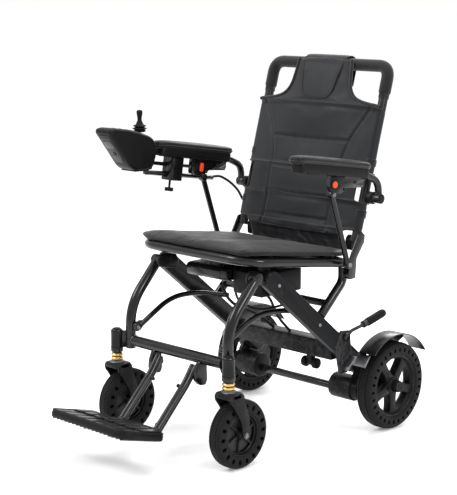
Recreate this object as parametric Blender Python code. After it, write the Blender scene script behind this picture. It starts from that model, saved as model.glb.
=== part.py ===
"""Folding power wheelchair, in metres, +Z up, facing -Y, floor at z = 0.

The person's left hand side is +X.  Side is +1 for the left pieces and -1 for the right ones,
and a piece's name ends in _L or _R to match.
"""
import math

import bmesh
import bpy
from mathutils import Matrix, Vector

# ---- driving dimensions -------------------------------------------------------------------
GAP = 0.0003                 # air left between pieces that touch
LEFT, RIGHT = 1, -1

REAR_AXLE = Vector((0, 0.340, 0.118))
REAR_RADIUS = 0.118
REAR_WIDTH = 0.048
REAR_TRACK = 0.261           # wheel centre from the mid-plane
REAR_RIM = 0.083             # rim's outer radius

CASTER_PIVOT = Vector((0.207, -0.218, 0))
CASTER_TRAIL = 0.033
CASTER_RADIUS = 0.087
CASTER_WIDTH = 0.040
HOUSING_BOTTOM, HOUSING_TOP = 0.226, 0.287

FRONT_HINGE = Vector((0, -0.095, 0.458))    # axis the front frame folds about
LEG_X, LEG_RADIUS = 0.180, 0.0135
CROSSBAR = Vector((0, -0.193, 0.257))
CROSSBAR_RADIUS = 0.0145

BEAM_X, BEAM_WIDTH, BEAM_HEIGHT = 0.190, 0.028, 0.048
BEAM_TOP = Vector((0, -0.055, 0.4505))
BEAM_FOOT = Vector((0, 0.292, 0.167))

SEAT_ORIGIN = Vector((0, 0.060, 0.4807))
SEAT_RAKE = math.radians(-7.6)              # the seat drops towards the rear
SEAT_HALF, SEAT_TUBE = 0.205, 0.0125
SEAT_FRONT, SEAT_REAR = -0.203, 0.157       # in the seat's own frame
SEAT_CORNER = 0.070

BACK_HINGE = Vector((0, 0.256, 0.522))
BACK_RECLINE = math.radians(-16)
BACK_HALF, BACK_TUBE = 0.205, 0.0125
GRIP_START, TOP_BAR = 0.384, 0.4577         # heights along the reclined back
GRIP_RADIUS = 0.0165

ARM_PIVOT = Vector((0, 0.2905, 0.625))
ARM_SLOPE = math.radians(-8.5)
ARM_X = 0.250
STRUT_X, STRUT_RADIUS = 0.234, 0.0075
STRUT_FOOT = Vector((0, 0.189, 0.462))
STRUT_HEAD = Vector((0, 0.123, 0.652))

FOOT_HINGE = Vector((0, -0.205, 0.226))     # footrest arms turn here
PLATE_HINGE = Vector((0, -0.330, 0.094))    # footplate turns here
PLATE_TILT = math.radians(-14.5)
FOOT_ARM_X = {LEFT: 0.070, RIGHT: -0.060}

BRAKE_PIVOT = Vector((0, 0.214, 0.262))
SHOE_PIVOT = Vector((0, 0.213, 0.178))

POD_X = -0.262
ROD_X = -0.0185                             # pod rods, from the armrest's middle
CLAMP_Y = -0.260                            # clamp block along the arm rail


# ---- materials ----------------------------------------------------------------------------
def material(name, colour, roughness, metallic=0.0):
    made = bpy.data.materials.new(name)
    made.use_nodes = True
    shader = made.node_tree.nodes["Principled BSDF"]
    shader.inputs["Base Color"].default_value = (*colour, 1.0)
    shader.inputs["Roughness"].default_value = roughness
    shader.inputs["Metallic"].default_value = metallic
    return made


for old in list(bpy.data.objects):
    bpy.data.objects.remove(old)

FRAME_PAINT = material("frame_paint", (0.020, 0.021, 0.023), 0.30, 0.4)
BEAM_PAINT = material("beam_paint", (0.035, 0.036, 0.038), 0.45, 0.3)
LEATHER = material("leather", (0.055, 0.058, 0.062), 0.55)
TYRE = material("tyre", (0.018, 0.018, 0.018), 0.85)
RIM = material("rim", (0.025, 0.025, 0.027), 0.50)
BLACK_PLASTIC = material("black_plastic", (0.022, 0.022, 0.023), 0.45)
GLOSS_PLASTIC = material("gloss_plastic", (0.015, 0.015, 0.016), 0.12)
FOAM = material("foam", (0.020, 0.020, 0.021), 0.90)
CAST = material("cast_metal", (0.030, 0.030, 0.032), 0.55, 0.5)
ORANGE = material("orange_plastic", (0.80, 0.10, 0.03), 0.35)
RUBBER = material("rubber", (0.015, 0.015, 0.015), 0.70)
STEEL = material("steel", (0.45, 0.45, 0.44), 0.35, 1.0)


# ---- shape tools --------------------------------------------------------------------------
def finish(name, bm, finish_material, parent=None, smooth=35):
    """Turn a bmesh into a named object, shaded smooth below the given edge angle."""
    bmesh.ops.recalc_face_normals(bm, faces=bm.faces)
    mesh = bpy.data.meshes.new(name)
    bm.to_mesh(mesh)
    bm.free()
    mesh.shade_smooth()
    mesh.set_sharp_from_angle(angle=math.radians(smooth))
    made = bpy.data.objects.new(name, mesh)
    bpy.context.scene.collection.objects.link(made)
    made.data.materials.append(finish_material)
    made.parent = parent
    return made


def empty(name, location, tilt=0.0, parent=None):
    """An empty that carries a group of pieces, turned by tilt about X."""
    made = bpy.data.objects.new(name, None)
    bpy.context.scene.collection.objects.link(made)
    made.location = location
    made.rotation_euler = (tilt, 0, 0)
    made.parent = parent
    return made


def rounded(points, radius, steps=5):
    """The polyline with each inner corner replaced by an arc of the given radius."""
    points = [Vector(p) for p in points]
    path = [points[0]]
    for before, corner, after in zip(points, points[1:], points[2:]):
        into, out = (before - corner).normalized(), (after - corner).normalized()
        half = into.angle(out) / 2
        reach = min(radius / math.tan(half), (before - corner).length * 0.49,
                    (after - corner).length * 0.49)
        centre = corner + (into + out).normalized() * (reach / math.cos(half))
        start, end = corner + into * reach - centre, corner + out * reach - centre
        turn = start.angle(end)
        for step in range(steps + 1):
            t = step / steps
            arm = (start * math.sin((1 - t) * turn) + end * math.sin(t * turn)) / math.sin(turn)
            path.append(centre + arm)
    path.append(points[-1])
    return path


def sweep(bm, path, radius, sides=12, loop=False):
    """A round bar along a path, with flat ends, or a closed ring if loop is set."""
    path = [Vector(p) for p in path]
    count = len(path)
    normal = None
    rings = []
    for i, point in enumerate(path):
        if loop:
            along = (path[(i + 1) % count] - path[i - 1]).normalized()
        else:
            along = (path[min(i + 1, count - 1)] - path[max(i - 1, 0)]).normalized()
        if normal is None:
            guess = Vector((0, 0, 1)) if abs(along.z) < 0.9 else Vector((0, 1, 0))
            normal = guess
        normal = (normal - along * normal.dot(along)).normalized()
        side = along.cross(normal)
        ring = []
        for k in range(sides):
            a = 2 * math.pi * (k + 0.5) / sides
            ring.append(bm.verts.new(point + (normal * math.cos(a) + side * math.sin(a)) * radius))
        rings.append(ring)
    pairs = list(zip(rings, rings[1:])) + ([(rings[-1], rings[0])] if loop else [])
    for low, high in pairs:
        for k in range(sides):
            n = (k + 1) % sides
            bm.faces.new((low[k], low[n], high[n], high[k]))
    if not loop:
        bm.faces.new(rings[0])
        bm.faces.new(rings[-1])


def bar(name, path, radius, finish_material, parent=None, sides=12, loop=False):
    bm = bmesh.new()
    sweep(bm, path, radius, sides, loop)
    return finish(name, bm, finish_material, parent)


def prism(name, outline, low, high, finish_material, parent=None, bevel=0.0, axis="X"):
    """An outline in the plane across an axis, extruded along it from low to high.

    The outline is (y, z) pairs for axis X, (x, z) for Y and (x, y) for Z.
    """
    place = {"X": lambda a, b, t: (t, a, b),
             "Y": lambda a, b, t: (a, t, b),
             "Z": lambda a, b, t: (a, b, t)}[axis]
    bm = bmesh.new()
    base = bm.faces.new([bm.verts.new(place(a, b, low)) for a, b in outline])
    grown = bmesh.ops.extrude_face_region(bm, geom=[base])
    moved = [v for v in grown["geom"] if isinstance(v, bmesh.types.BMVert)]
    bmesh.ops.translate(bm, verts=moved, vec=Vector(place(0, 0, high - low)))
    if bevel:
        edges = [e for e in bm.edges if e.calc_face_angle(0) > math.radians(25)]
        bmesh.ops.bevel(bm, geom=edges, offset=bevel, segments=2, profile=0.5, affect="EDGES",
                        clamp_overlap=True)
    return finish(name, bm, finish_material, parent)


def block(name, low, high, finish_material, parent=None, bevel=0.0):
    outline = [(low[1], low[2]), (high[1], low[2]), (high[1], high[2]), (low[1], high[2])]
    return prism(name, outline, low[0], high[0], finish_material, parent, bevel)


def turned(name, profile, centre, finish_material, parent=None, segments=32, ring=False):
    """A profile of (x, radius) points turned about the X axis through centre.

    A ring's profile is a closed loop that stays off the axis.  Any other profile starts and
    ends on a flat end face.
    """
    bm = bmesh.new()
    rings = []
    for x, radius in profile:
        turn = []
        for k in range(segments):
            a = 2 * math.pi * k / segments
            turn.append(bm.verts.new((centre[0] + x, centre[1] + radius * math.cos(a),
                                      centre[2] + radius * math.sin(a))))
        rings.append(turn)
    pairs = list(zip(rings, rings[1:])) + ([(rings[-1], rings[0])] if ring else [])
    for low, high in pairs:
        for k in range(segments):
            n = (k + 1) % segments
            bm.faces.new((low[k], low[n], high[n], high[k]))
    if not ring:
        bm.faces.new(rings[0])
        bm.faces.new(rings[-1])
    return finish(name, bm, finish_material, parent)


def upright(name, profile, centre, finish_material, segments):
    """A profile of (height, radius) points turned about the vertical through centre."""
    made = turned(name, profile, (0, 0, 0), finish_material, segments=segments)
    made.data.transform(Matrix.Translation(centre) @ Matrix.Rotation(math.radians(-90), 4, "Y"))
    return made


def weld(target, *pieces):
    """Join pieces into target as one closed body, and cut nothing away."""
    return combine(target, pieces, "UNION")


def cut(target, *cutters):
    return combine(target, cutters, "DIFFERENCE")


def combine(target, pieces, operation):
    for piece in pieces:
        step = target.modifiers.new(operation.lower(), "BOOLEAN")
        step.operation = operation
        step.solver = "EXACT"
        step.object = piece
    bpy.context.view_layer.update()
    graph = bpy.context.evaluated_depsgraph_get()
    solid = bpy.data.meshes.new_from_object(target.evaluated_get(graph))
    target.modifiers.clear()
    target.data = solid
    for piece in pieces:
        bpy.data.objects.remove(piece)
    return target


def suffix(side):
    return "_L" if side == LEFT else "_R"


def span(side, low, high):
    """The two x values low and high on one side of the chair, in rising order."""
    return tuple(sorted((side * low, side * high)))


def arc(centre, radius, start, end, steps):
    """Points (y, z) round an arc, angles in degrees from +Y towards +Z."""
    for step in range(steps + 1):
        a = math.radians(start + (end - start) * step / steps)
        yield (centre[0] + radius * math.cos(a), centre[1] + radius * math.sin(a))


def capsule(start, end, radius, steps=8):
    """The (y, z) outline of a strip with round ends, from start to end."""
    heading = math.degrees(math.atan2(end[1] - start[1], end[0] - start[0]))
    tail = list(arc(start, radius, heading + 90, heading + 270, steps))
    return tail + list(arc(end, radius, heading - 90, heading + 90, steps))


def yz(point):
    return (point[1], point[2])


# ---- rear frame ---------------------------------------------------------------------------
def main_beam(side):
    """Slanting box beam with its front hinge cheek, seat stop and brake plate."""
    inner, outer = BEAM_X - BEAM_WIDTH / 2, BEAM_X + BEAM_WIDTH / 2
    beam = prism("main_beam" + suffix(side), capsule(yz(BEAM_TOP), yz(BEAM_FOOT), BEAM_HEIGHT / 2),
                 *span(side, inner, outer), BEAM_PAINT, bevel=0.004)
    cheek = prism("cheek", capsule(yz(FRONT_HINGE), yz(BEAM_TOP), 0.018),
                  *span(side, 0.1605, 0.1660), BEAM_PAINT)
    boss = prism("boss", capsule((-0.056, 0.4505), (-0.054, 0.4505), 0.014),
                 *span(side, 0.1615, inner + 0.006), BEAM_PAINT)
    stop = prism("stop", [(-0.070, 0.450), (-0.045, 0.450), (-0.045, 0.4895), (-0.070, 0.4895)],
                 *span(side, 0.1625, inner + 0.002), BEAM_PAINT)
    plate = prism("plate", [(0.178, 0.240), (0.196, 0.163), (0.226, 0.163), (0.243, 0.205),
                            (0.235, 0.276), (0.200, 0.280)],
                  *span(side, outer - 0.003, outer + 0.0043), BEAM_PAINT)
    return weld(beam, cheek, boss, stop, plate)


def rear_cross_member():
    """Box beam between the two main beams, with the hanger for the transport rollers."""
    half = BEAM_X - BEAM_WIDTH / 2 - GAP
    member = block("rear_cross_member", (-half, 0.196, 0.194), (half, 0.246, 0.243), BEAM_PAINT,
                   bevel=0.005)
    hanger = prism("hanger", capsule((0.215, 0.205), (0.215, 0.171), 0.008), 0.0785, 0.0975,
                   BEAM_PAINT)
    hole = prism("hole", list(arc((0.215, 0.171), 0.0042, 0, 330, 11)), 0.07, 0.11, BEAM_PAINT)
    return cut(weld(member, hanger), hole)


def transport_rollers():
    half, wheel, lip = 0.0255, 0.0145, 0.0015
    profile = [(-half, wheel - lip), (-half + lip, wheel), (-0.013, wheel), (-0.0115, wheel - lip),
               (-0.0115, 0.003)]
    profile += [(-x, r) for x, r in reversed(profile)]
    turned("transport_rollers", profile, (0.088, 0.215, 0.171), RUBBER, segments=20)


def seat_post(side):
    """Bent tube from the seat's rear corner down onto the beam, with the back's hinge plate."""
    x = side * BEAM_X
    path = rounded([(x, 0.222, 0.4455), (x, 0.222, 0.408), (x, 0.1362, 0.3282)], 0.035)
    post = bar("seat_post" + suffix(side), path, SEAT_TUBE, FRAME_PAINT, sides=16)
    plate = prism("plate", [(0.208, 0.418), (0.236, 0.418), (0.240, 0.470), (0.270, 0.510),
                            (0.272, 0.528), (0.260, 0.538), (0.246, 0.534), (0.222, 0.492),
                            (0.212, 0.470)],
                  *span(side, 0.2183, 0.2223), FRAME_PAINT)
    foot = prism("foot", capsule((0.222, 0.425), (0.222, 0.436), 0.009),
                 *span(side, 0.195, 0.2200), FRAME_PAINT)
    return weld(post, plate, foot)


def drive_motor(side):
    """Motor with its gearbox, the plate that bolts it to the beam, and the wheel shaft."""
    axle, motor = yz(REAR_AXLE), (0.262, 0.112)
    body = turned("drive_motor" + suffix(side),
                  [(side * x, r) for x, r in ((0.135, 0.026), (0.138, 0.034), (0.210, 0.034))],
                  (0, *motor), CAST, segments=28)
    gearbox = prism("gearbox", capsule(motor, axle, 0.029), *span(side, 0.207, 0.2315), CAST,
                    bevel=0.002)
    plate = prism("plate", [(0.245, 0.140), (0.272, 0.186), (0.292, 0.190), (0.313, 0.176),
                            (0.352, 0.140), (0.330, 0.100), (0.270, 0.100)],
                  *span(side, 0.2043, 0.2100), CAST)
    shaft = turned("shaft", [(side * 0.220, 0.006), (side * (REAR_TRACK + 0.013), 0.006)],
                   REAR_AXLE, CAST, segments=16)
    return weld(body, gearbox, plate, shaft)


def fender(side):
    """Curved mudguard over the rear wheel on a flat stay beside the gearbox."""
    centre, outer, thick = yz(REAR_AXLE), 0.1450, 0.003
    rim = list(arc(centre, outer, 24, 136, 20))
    rim += list(arc(centre, outer - thick, 136, 24, 20))
    shell = prism("fender" + suffix(side), rim, *span(side, 0.2335, 0.2885), GLOSS_PLASTIC)
    stay = [(0.322, 0.126), (0.358, 0.126), (0.350, 0.196), (0.358, 0.2605), (0.322, 0.2605),
            (0.330, 0.196)]
    strap = prism("strap", stay, *span(side, 0.2320, 0.2350), GLOSS_PLASTIC)
    return weld(shell, strap)


def rear_wheel(side):
    centre = REAR_AXLE + Vector((side * REAR_TRACK, 0, 0))
    half = REAR_WIDTH / 2
    tyre = [(-half + 0.003, REAR_RIM + GAP), (-half, 0.090), (-half, 0.105),
            (-half + 0.007, 0.1150), (-0.007, REAR_RADIUS)]
    tyre += [(-x, r) for x, r in reversed(tyre)]
    turned("rear_tyre" + suffix(side), tyre, centre, TYRE, segments=28, ring=True)
    rim = [(0.014, 0.0072), (-half, 0.0072), (-half, 0.020), (-0.008, 0.024), (-0.008, 0.068),
           (-0.019, 0.073), (-0.020, REAR_RIM), (0.020, REAR_RIM), (0.019, 0.073), (0.008, 0.068),
           (0.008, 0.026), (0.022, 0.022), (0.034, 0.017)]
    turned("rear_rim" + suffix(side), [(side * x, r) for x, r in rim], centre, RIM, segments=28)


def brake(side):
    """Hand lever and the shoe that it presses on the tyre."""
    pivot = yz(BRAKE_PIVOT)
    x = 0.2135
    path = rounded([(side * x, 0.214, 0.262), (side * x, 0.232, 0.276),
                    (side * 0.224, 0.256, 0.286), (side * 0.231, 0.341, 0.310)], 0.02, 4)
    lever = bar("brake_lever" + suffix(side), path, 0.0048, FRAME_PAINT, sides=10)
    hub = prism("hub", list(arc(pivot, 0.011, 0, 337.5, 15)), *span(side, 0.2087, 0.2180),
                FRAME_PAINT)
    grip = bar("grip", [(side * 0.2248, 0.266, 0.2888), (side * 0.2309, 0.340, 0.3097),
                        (side * 0.2313, 0.345, 0.3111)], 0.0098, RUBBER, sides=12)
    weld(lever, hub, grip)
    heading = math.radians(141)
    face = REAR_AXLE + Vector((0, math.cos(heading), math.sin(heading))) * 0.1265
    along = Vector((0, -math.sin(heading), math.cos(heading))) * 0.018
    thick = Vector((0, math.cos(heading), math.sin(heading))) * 0.006
    shoe = prism("brake_shoe" + suffix(side),
                 [yz(face - along), yz(face + along), yz(face + along + thick),
                  yz(face - along + thick)],
                 *span(side, 0.2260, 0.2660), STEEL)
    arm = prism("arm", capsule(yz(SHOE_PIVOT), yz(face + thick * 0.6), 0.007),
                *span(side, 0.2087, 0.2280), STEEL)
    return weld(shoe, arm)


# ---- front frame --------------------------------------------------------------------------
def front_leg(side):
    """Bent leg tube with its hinge barrel and the welded caster housing."""
    x = side * LEG_X
    leg = bar("front_leg" + suffix(side),
              rounded([(x, CROSSBAR.y, 0.238), (x, CROSSBAR.y, 0.350), (x, *yz(FRONT_HINGE))],
                      0.060, 6),
              LEG_RADIUS, FRAME_PAINT, sides=16)
    barrel = turned("barrel", [(side * 0.1664, 0.0145), (side * 0.1935, 0.0145)],
                    FRONT_HINGE, FRAME_PAINT, segments=20)
    pivot = Vector((side * CASTER_PIVOT.x, CASTER_PIVOT.y))
    toward = (Vector((x, CROSSBAR.y)) - pivot).normalized()
    across = Vector((-toward.y, toward.x)) * 0.005
    root, tip = pivot + toward * 0.004, Vector((x, CROSSBAR.y)) - toward * 0.004
    web = prism("web", [tuple(root - across), tuple(tip - across), tuple(tip + across),
                        tuple(root + across)], 0.240, 0.280, FRAME_PAINT, axis="Z")
    housing = prism("housing", [(pivot.x + a - pivot.x, b) for a, b in
                                arc(tuple(pivot), 0.016, 0, 345, 23)],
                    HOUSING_BOTTOM, HOUSING_TOP, FRAME_PAINT, axis="Z")
    return weld(leg, barrel, web, housing)


def front_crossbar():
    """Tube between the front legs, with the two footrest brackets welded under it."""
    half = LEG_X - LEG_RADIUS - GAP
    tube = bar("front_crossbar", [(-half, *yz(CROSSBAR)), (half, *yz(CROSSBAR))],
               CROSSBAR_RADIUS, FRAME_PAINT, sides=20)
    plates = []
    for side in (LEFT, RIGHT):
        x = FOOT_ARM_X[side]
        low, high = sorted((x + side * 0.0115, x + side * 0.0155))
        plates.append(prism("plate", [(-0.203, 0.252), (-0.183, 0.250), (-0.186, 0.192),
                                      (-0.200, 0.186), (-0.217, 0.224)],
                            low, high, FRAME_PAINT))
    return weld(tube, *plates)


def brace_link(side):
    """Curved rod from the leg back under the seat, which slides back as the frame folds."""
    x = side * 0.1555
    path = rounded([(x, -0.182, 0.298), (x, -0.075, 0.357), (x, 0.020, 0.357), (x, 0.140, 0.330)],
                   0.060, 4)
    link = bar("brace_link" + suffix(side), path, 0.0070, FRAME_PAINT, sides=10)
    eye = prism("eye", capsule((-0.189, 0.294), (-0.175, 0.302), 0.009),
                *span(side, 0.1535, 0.1660), FRAME_PAINT)
    return weld(link, eye)


def caster(side):
    """Caster fork with its stem and collar, and the wheel that trails behind the stem."""
    pivot = Vector((side * CASTER_PIVOT.x, CASTER_PIVOT.y, 0))
    axle = Vector((pivot.x, pivot.y + CASTER_TRAIL, CASTER_RADIUS))
    crown = block("caster_fork" + suffix(side), (pivot.x - 0.029, pivot.y - 0.022, 0.180),
                  (pivot.x + 0.029, pivot.y + 0.028, 0.198), CAST, bevel=0.003)
    leg = [(pivot.y - 0.020, 0.190), (pivot.y + 0.026, 0.190), (axle.y + 0.014, 0.130),
           (axle.y + 0.010, 0.080), (axle.y - 0.010, 0.077), (axle.y - 0.015, 0.120)]
    legs = [prism("leg", leg, pivot.x + s * 0.0265 - 0.0025, pivot.x + s * 0.0265 + 0.0025, CAST)
            for s in (LEFT, RIGHT)]
    stem = prism("stem", list(arc((pivot.x, pivot.y), 0.0115, 0, 337.5, 15)), 0.192,
                 HOUSING_BOTTOM - GAP, CAST, axis="Z")
    bolt = turned("bolt", [(-0.0265, 0.0045), (0.0265, 0.0045)], axle, CAST, segments=12)
    weld(crown, *legs, stem, bolt)
    half = CASTER_WIDTH / 2
    wheel = [(-0.0215, 0.0055), (-0.0215, 0.0120), (-0.007, 0.015), (-0.007, 0.048),
             (-half + 0.002, 0.054), (-half, 0.078), (-half + 0.007, 0.0850),
             (-0.006, CASTER_RADIUS)]
    wheel += [(-x, r) for x, r in reversed(wheel)]
    turned("caster_wheel" + suffix(side), wheel, axle, TYRE, segments=28, ring=True)


def footrest_arm(side):
    x = FOOT_ARM_X[side]
    arm = bar("footrest_arm" + suffix(side),
              rounded([(x, *yz(FOOT_HINGE)), (x, -0.222, 0.198), (x, -0.250, 0.170),
                       (x, *yz(PLATE_HINGE))], 0.03, 3), 0.0085, FRAME_PAINT, sides=12)
    knuckles = []
    for centre, radius, half in ((FOOT_HINGE, 0.0095, 0.0105), (PLATE_HINGE, 0.0090, 0.0100)):
        knuckles.append(turned("knuckle", [(x - half, radius), (x + half, radius)], centre,
                               FRAME_PAINT, segments=16))
    return weld(arm, *knuckles)


def footplate():
    """Ribbed plate on its hinge rod; the front edge is tipped up."""
    hinge = empty("footplate_hinge", PLATE_HINGE, PLATE_TILT)
    plate = prism("footplate", [(-0.168, -0.0115), (-0.168, -0.139), (-0.157, -0.150),
                                (0.082, -0.150), (0.105, -0.140), (0.115, -0.117),
                                (0.115, -0.0115)],
                  -0.018, 0.006, BLACK_PLASTIC, hinge, bevel=0.003, axis="Z")
    rod = bar("rod", [(-0.0495, 0, 0), (0.0595, 0, 0)], 0.0065, BLACK_PLASTIC, hinge, sides=12)
    lug = prism("lug", [(-0.020, -0.006), (0.001, -0.006), (0.001, 0.0050), (-0.020, 0.0050)],
                -0.030, 0.040, BLACK_PLASTIC, hinge)
    return weld(plate, rod, lug)


# ---- seat ---------------------------------------------------------------------------------
def seat():
    """Seat tube ring, the board across it and the thin cushion on top."""
    frame = empty("seat_frame", SEAT_ORIGIN, SEAT_RAKE)
    inset = SEAT_CORNER
    ring = []
    for sx, sy, start in ((1, -1, 270), (1, 1, 0), (-1, 1, 90), (-1, -1, 180)):
        edge = SEAT_FRONT if sy < 0 else SEAT_REAR
        radius = inset if sy < 0 else 0.026
        centre = (sx * (SEAT_HALF - radius), edge - sy * radius)
        ring += [(px, py, 0) for px, py in arc(centre, radius, start, start + 90, 6)]
    bar("seat_frame_tube", ring, SEAT_TUBE, FRAME_PAINT, frame, sides=14, loop=True)
    half, soft = SEAT_HALF - SEAT_TUBE - 0.004, 0.216
    corner = 0.060
    board = [(half, SEAT_REAR - 0.034), (-half, SEAT_REAR - 0.034)]
    board += list(arc((-half + corner, SEAT_FRONT + 0.018 + corner), corner, 180, 270, 5))
    board += list(arc((half - corner, SEAT_FRONT + 0.018 + corner), corner, 270, 360, 5))
    prism("seat_board", board, -0.004, 0.004, BLACK_PLASTIC, frame, axis="Z")
    corner = 0.070
    front, rear = SEAT_FRONT - 0.009, SEAT_REAR + 0.004
    pad = [(soft, rear), (-soft, rear)]
    pad += list(arc((-soft + corner, front + corner), corner, 180, 270, 6))
    pad += list(arc((soft - corner, front + corner), corner, 270, 360, 6))
    prism("seat_cushion", pad, SEAT_TUBE + 0.001, SEAT_TUBE + 0.029, LEATHER, frame, bevel=0.006,
          axis="Z")


def power_pack():
    """Battery slid in under the seat board, and the motor controller beside it."""
    block("battery_pack", (-0.120, -0.052, 0.421), (0.030, 0.172, 0.456), GLOSS_PLASTIC, bevel=0.008)
    block("motor_controller", (0.034, -0.030, 0.392), (0.138, 0.120, 0.452), BLACK_PLASTIC,
          bevel=0.004)


# ---- backrest -----------------------------------------------------------------------------
def backrest():
    """Reclined back: two tubes, the foam-covered top bar, the sling and the headrest flap.

    Inside the hinge empty, +Z runs up along the tubes and -Y faces the person.
    """
    hinge = empty("back_hinge", BACK_HINGE, BACK_RECLINE)
    for side in (LEFT, RIGHT):
        x = side * BACK_HALF
        bar("back_tube" + suffix(side), [(x, 0, -0.012), (x, 0, GRIP_START - GAP)], BACK_TUBE,
            FRAME_PAINT, hinge, sides=16)
    bar("push_bar", rounded([(-BACK_HALF, 0, GRIP_START), (-BACK_HALF, 0, TOP_BAR),
                             (BACK_HALF, 0, TOP_BAR), (BACK_HALF, 0, GRIP_START)], 0.045, 6),
        GRIP_RADIUS, FOAM, hinge, sides=16)
    near, far = -0.0265, -0.0140
    sling = [(-0.2165, 0.018), (0.2165, 0.018), (0.2165, 0.345), (0.196, 0.352), (0.150, 0.388),
             (0.118, 0.425), (-0.118, 0.425), (-0.150, 0.388), (-0.196, 0.352), (-0.2165, 0.345)]
    prism("back_upholstery", sling, near, far, LEATHER, hinge, bevel=0.003, axis="Y")
    over = TOP_BAR + GRIP_RADIUS
    flap = [(-0.0375, 0.360), (-0.0270, 0.360), (-0.0270, 0.440), (-0.0190, over - 0.012),
            (-0.0110, over + 0.001), (0.0110, over + 0.001), (0.0180, over - 0.012),
            (0.0180, 0.400), (0.0270, 0.400), (0.0270, over - 0.006), (0.0150, over + 0.010),
            (-0.0150, over + 0.010), (-0.0290, over - 0.004), (-0.0375, 0.440)]
    prism("headrest_flap", flap, -0.092, 0.092, LEATHER, hinge)


# ---- armrests -----------------------------------------------------------------------------
def armrest(side):
    """Arm rail on its knuckle, with the pad, the release catch and the prop strut.

    Inside the arm's empty, -Y runs forward along the rail and +Z is square to the pad.
    """
    tag = suffix(side)
    pivot = ARM_PIVOT
    knuckle = prism("armrest_knuckle" + tag, list(arc(yz(pivot), 0.0165, 0, 345, 23)),
                    *span(side, 0.2183, 0.2345), CAST)
    rail = empty("arm" + tag, pivot + Vector((side * ARM_X, 0, 0)), ARM_SLOPE)
    tube = bar("arm_rail" + tag, rounded([(0, 0, 0), (0, -0.010, 0.045), (0, -0.060, 0.058),
                                          (0, -0.325, 0.058)], 0.035, 4),
               0.0095, FRAME_PAINT, rail, sides=12)
    hub = prism("hub", list(arc((0, 0), 0.0130, 0, 337.5, 15)),
                *span(side, 0.2350 - ARM_X, 0.2590 - ARM_X), FRAME_PAINT, rail)
    catch = prism("catch", [(-0.205, 0.052), (-0.205, 0.022), (-0.192, 0.006), (-0.160, 0.006),
                            (-0.140, 0.022), (-0.078, 0.026), (-0.074, 0.036), (-0.078, 0.052)],
                  *span(side, 0.2430 - ARM_X, 0.2570 - ARM_X), FRAME_PAINT, rail)
    if side == RIGHT:
        clamp = block("clamp", (ROD_X - 0.0125, CLAMP_Y - 0.022, -0.014),
                      (0.006, CLAMP_Y + 0.022, 0.052), FRAME_PAINT, rail, bevel=0.002)
        bores = [bar("bore", [(ROD_X, CLAMP_Y - 0.04, height), (ROD_X, CLAMP_Y + 0.04, height)],
                     radius + 0.0010, FRAME_PAINT, rail, sides=16)
                 for height, radius in ((0.0285, 0.0055), (0.0020, 0.0070))]
        screw_bore = bar("bore", [(ROD_X, CLAMP_Y, -0.03), (ROD_X, CLAMP_Y, -0.0065)],
                         0.0040, FRAME_PAINT, rail, sides=12)
        weld(tube, cut(clamp, *bores, screw_bore))
    weld(tube, hub, catch)
    slot = prism("slot", list(arc((-0.178, 0.036), 0.0095, 0, 337.5, 15)),
                 *span(side, 0.2500 - ARM_X, 0.2600 - ARM_X), FRAME_PAINT, rail)
    cut(tube, slot)
    prism("arm_release_button" + tag, list(arc((-0.178, 0.036), 0.0088, 0, 337.5, 15)),
          *span(side, 0.2545 - ARM_X, 0.2610 - ARM_X), ORANGE, rail)
    prism("arm_pad" + tag, [(-0.022, -0.331), (-0.010, -0.345), (0.010, -0.345), (0.022, -0.331),
                            (0.022, -0.062), (-0.022, -0.062)],
          0.0690, 0.0940, RUBBER, rail, bevel=0.005, axis="Z")
    foot, head = (STRUT_FOOT, STRUT_HEAD)
    x = side * STRUT_X
    strut = bar("arm_strut" + tag, [(x, *yz(foot)), (x, *yz(head))], STRUT_RADIUS, FRAME_PAINT,
                sides=12)
    pads = [prism("eye", list(arc(yz(centre), 0.0105, 0, 337.5, 15)),
                  *span(side, 0.2262, 0.2418), FRAME_PAINT) for centre in (foot, head)]
    weld(strut, *pads)


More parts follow.
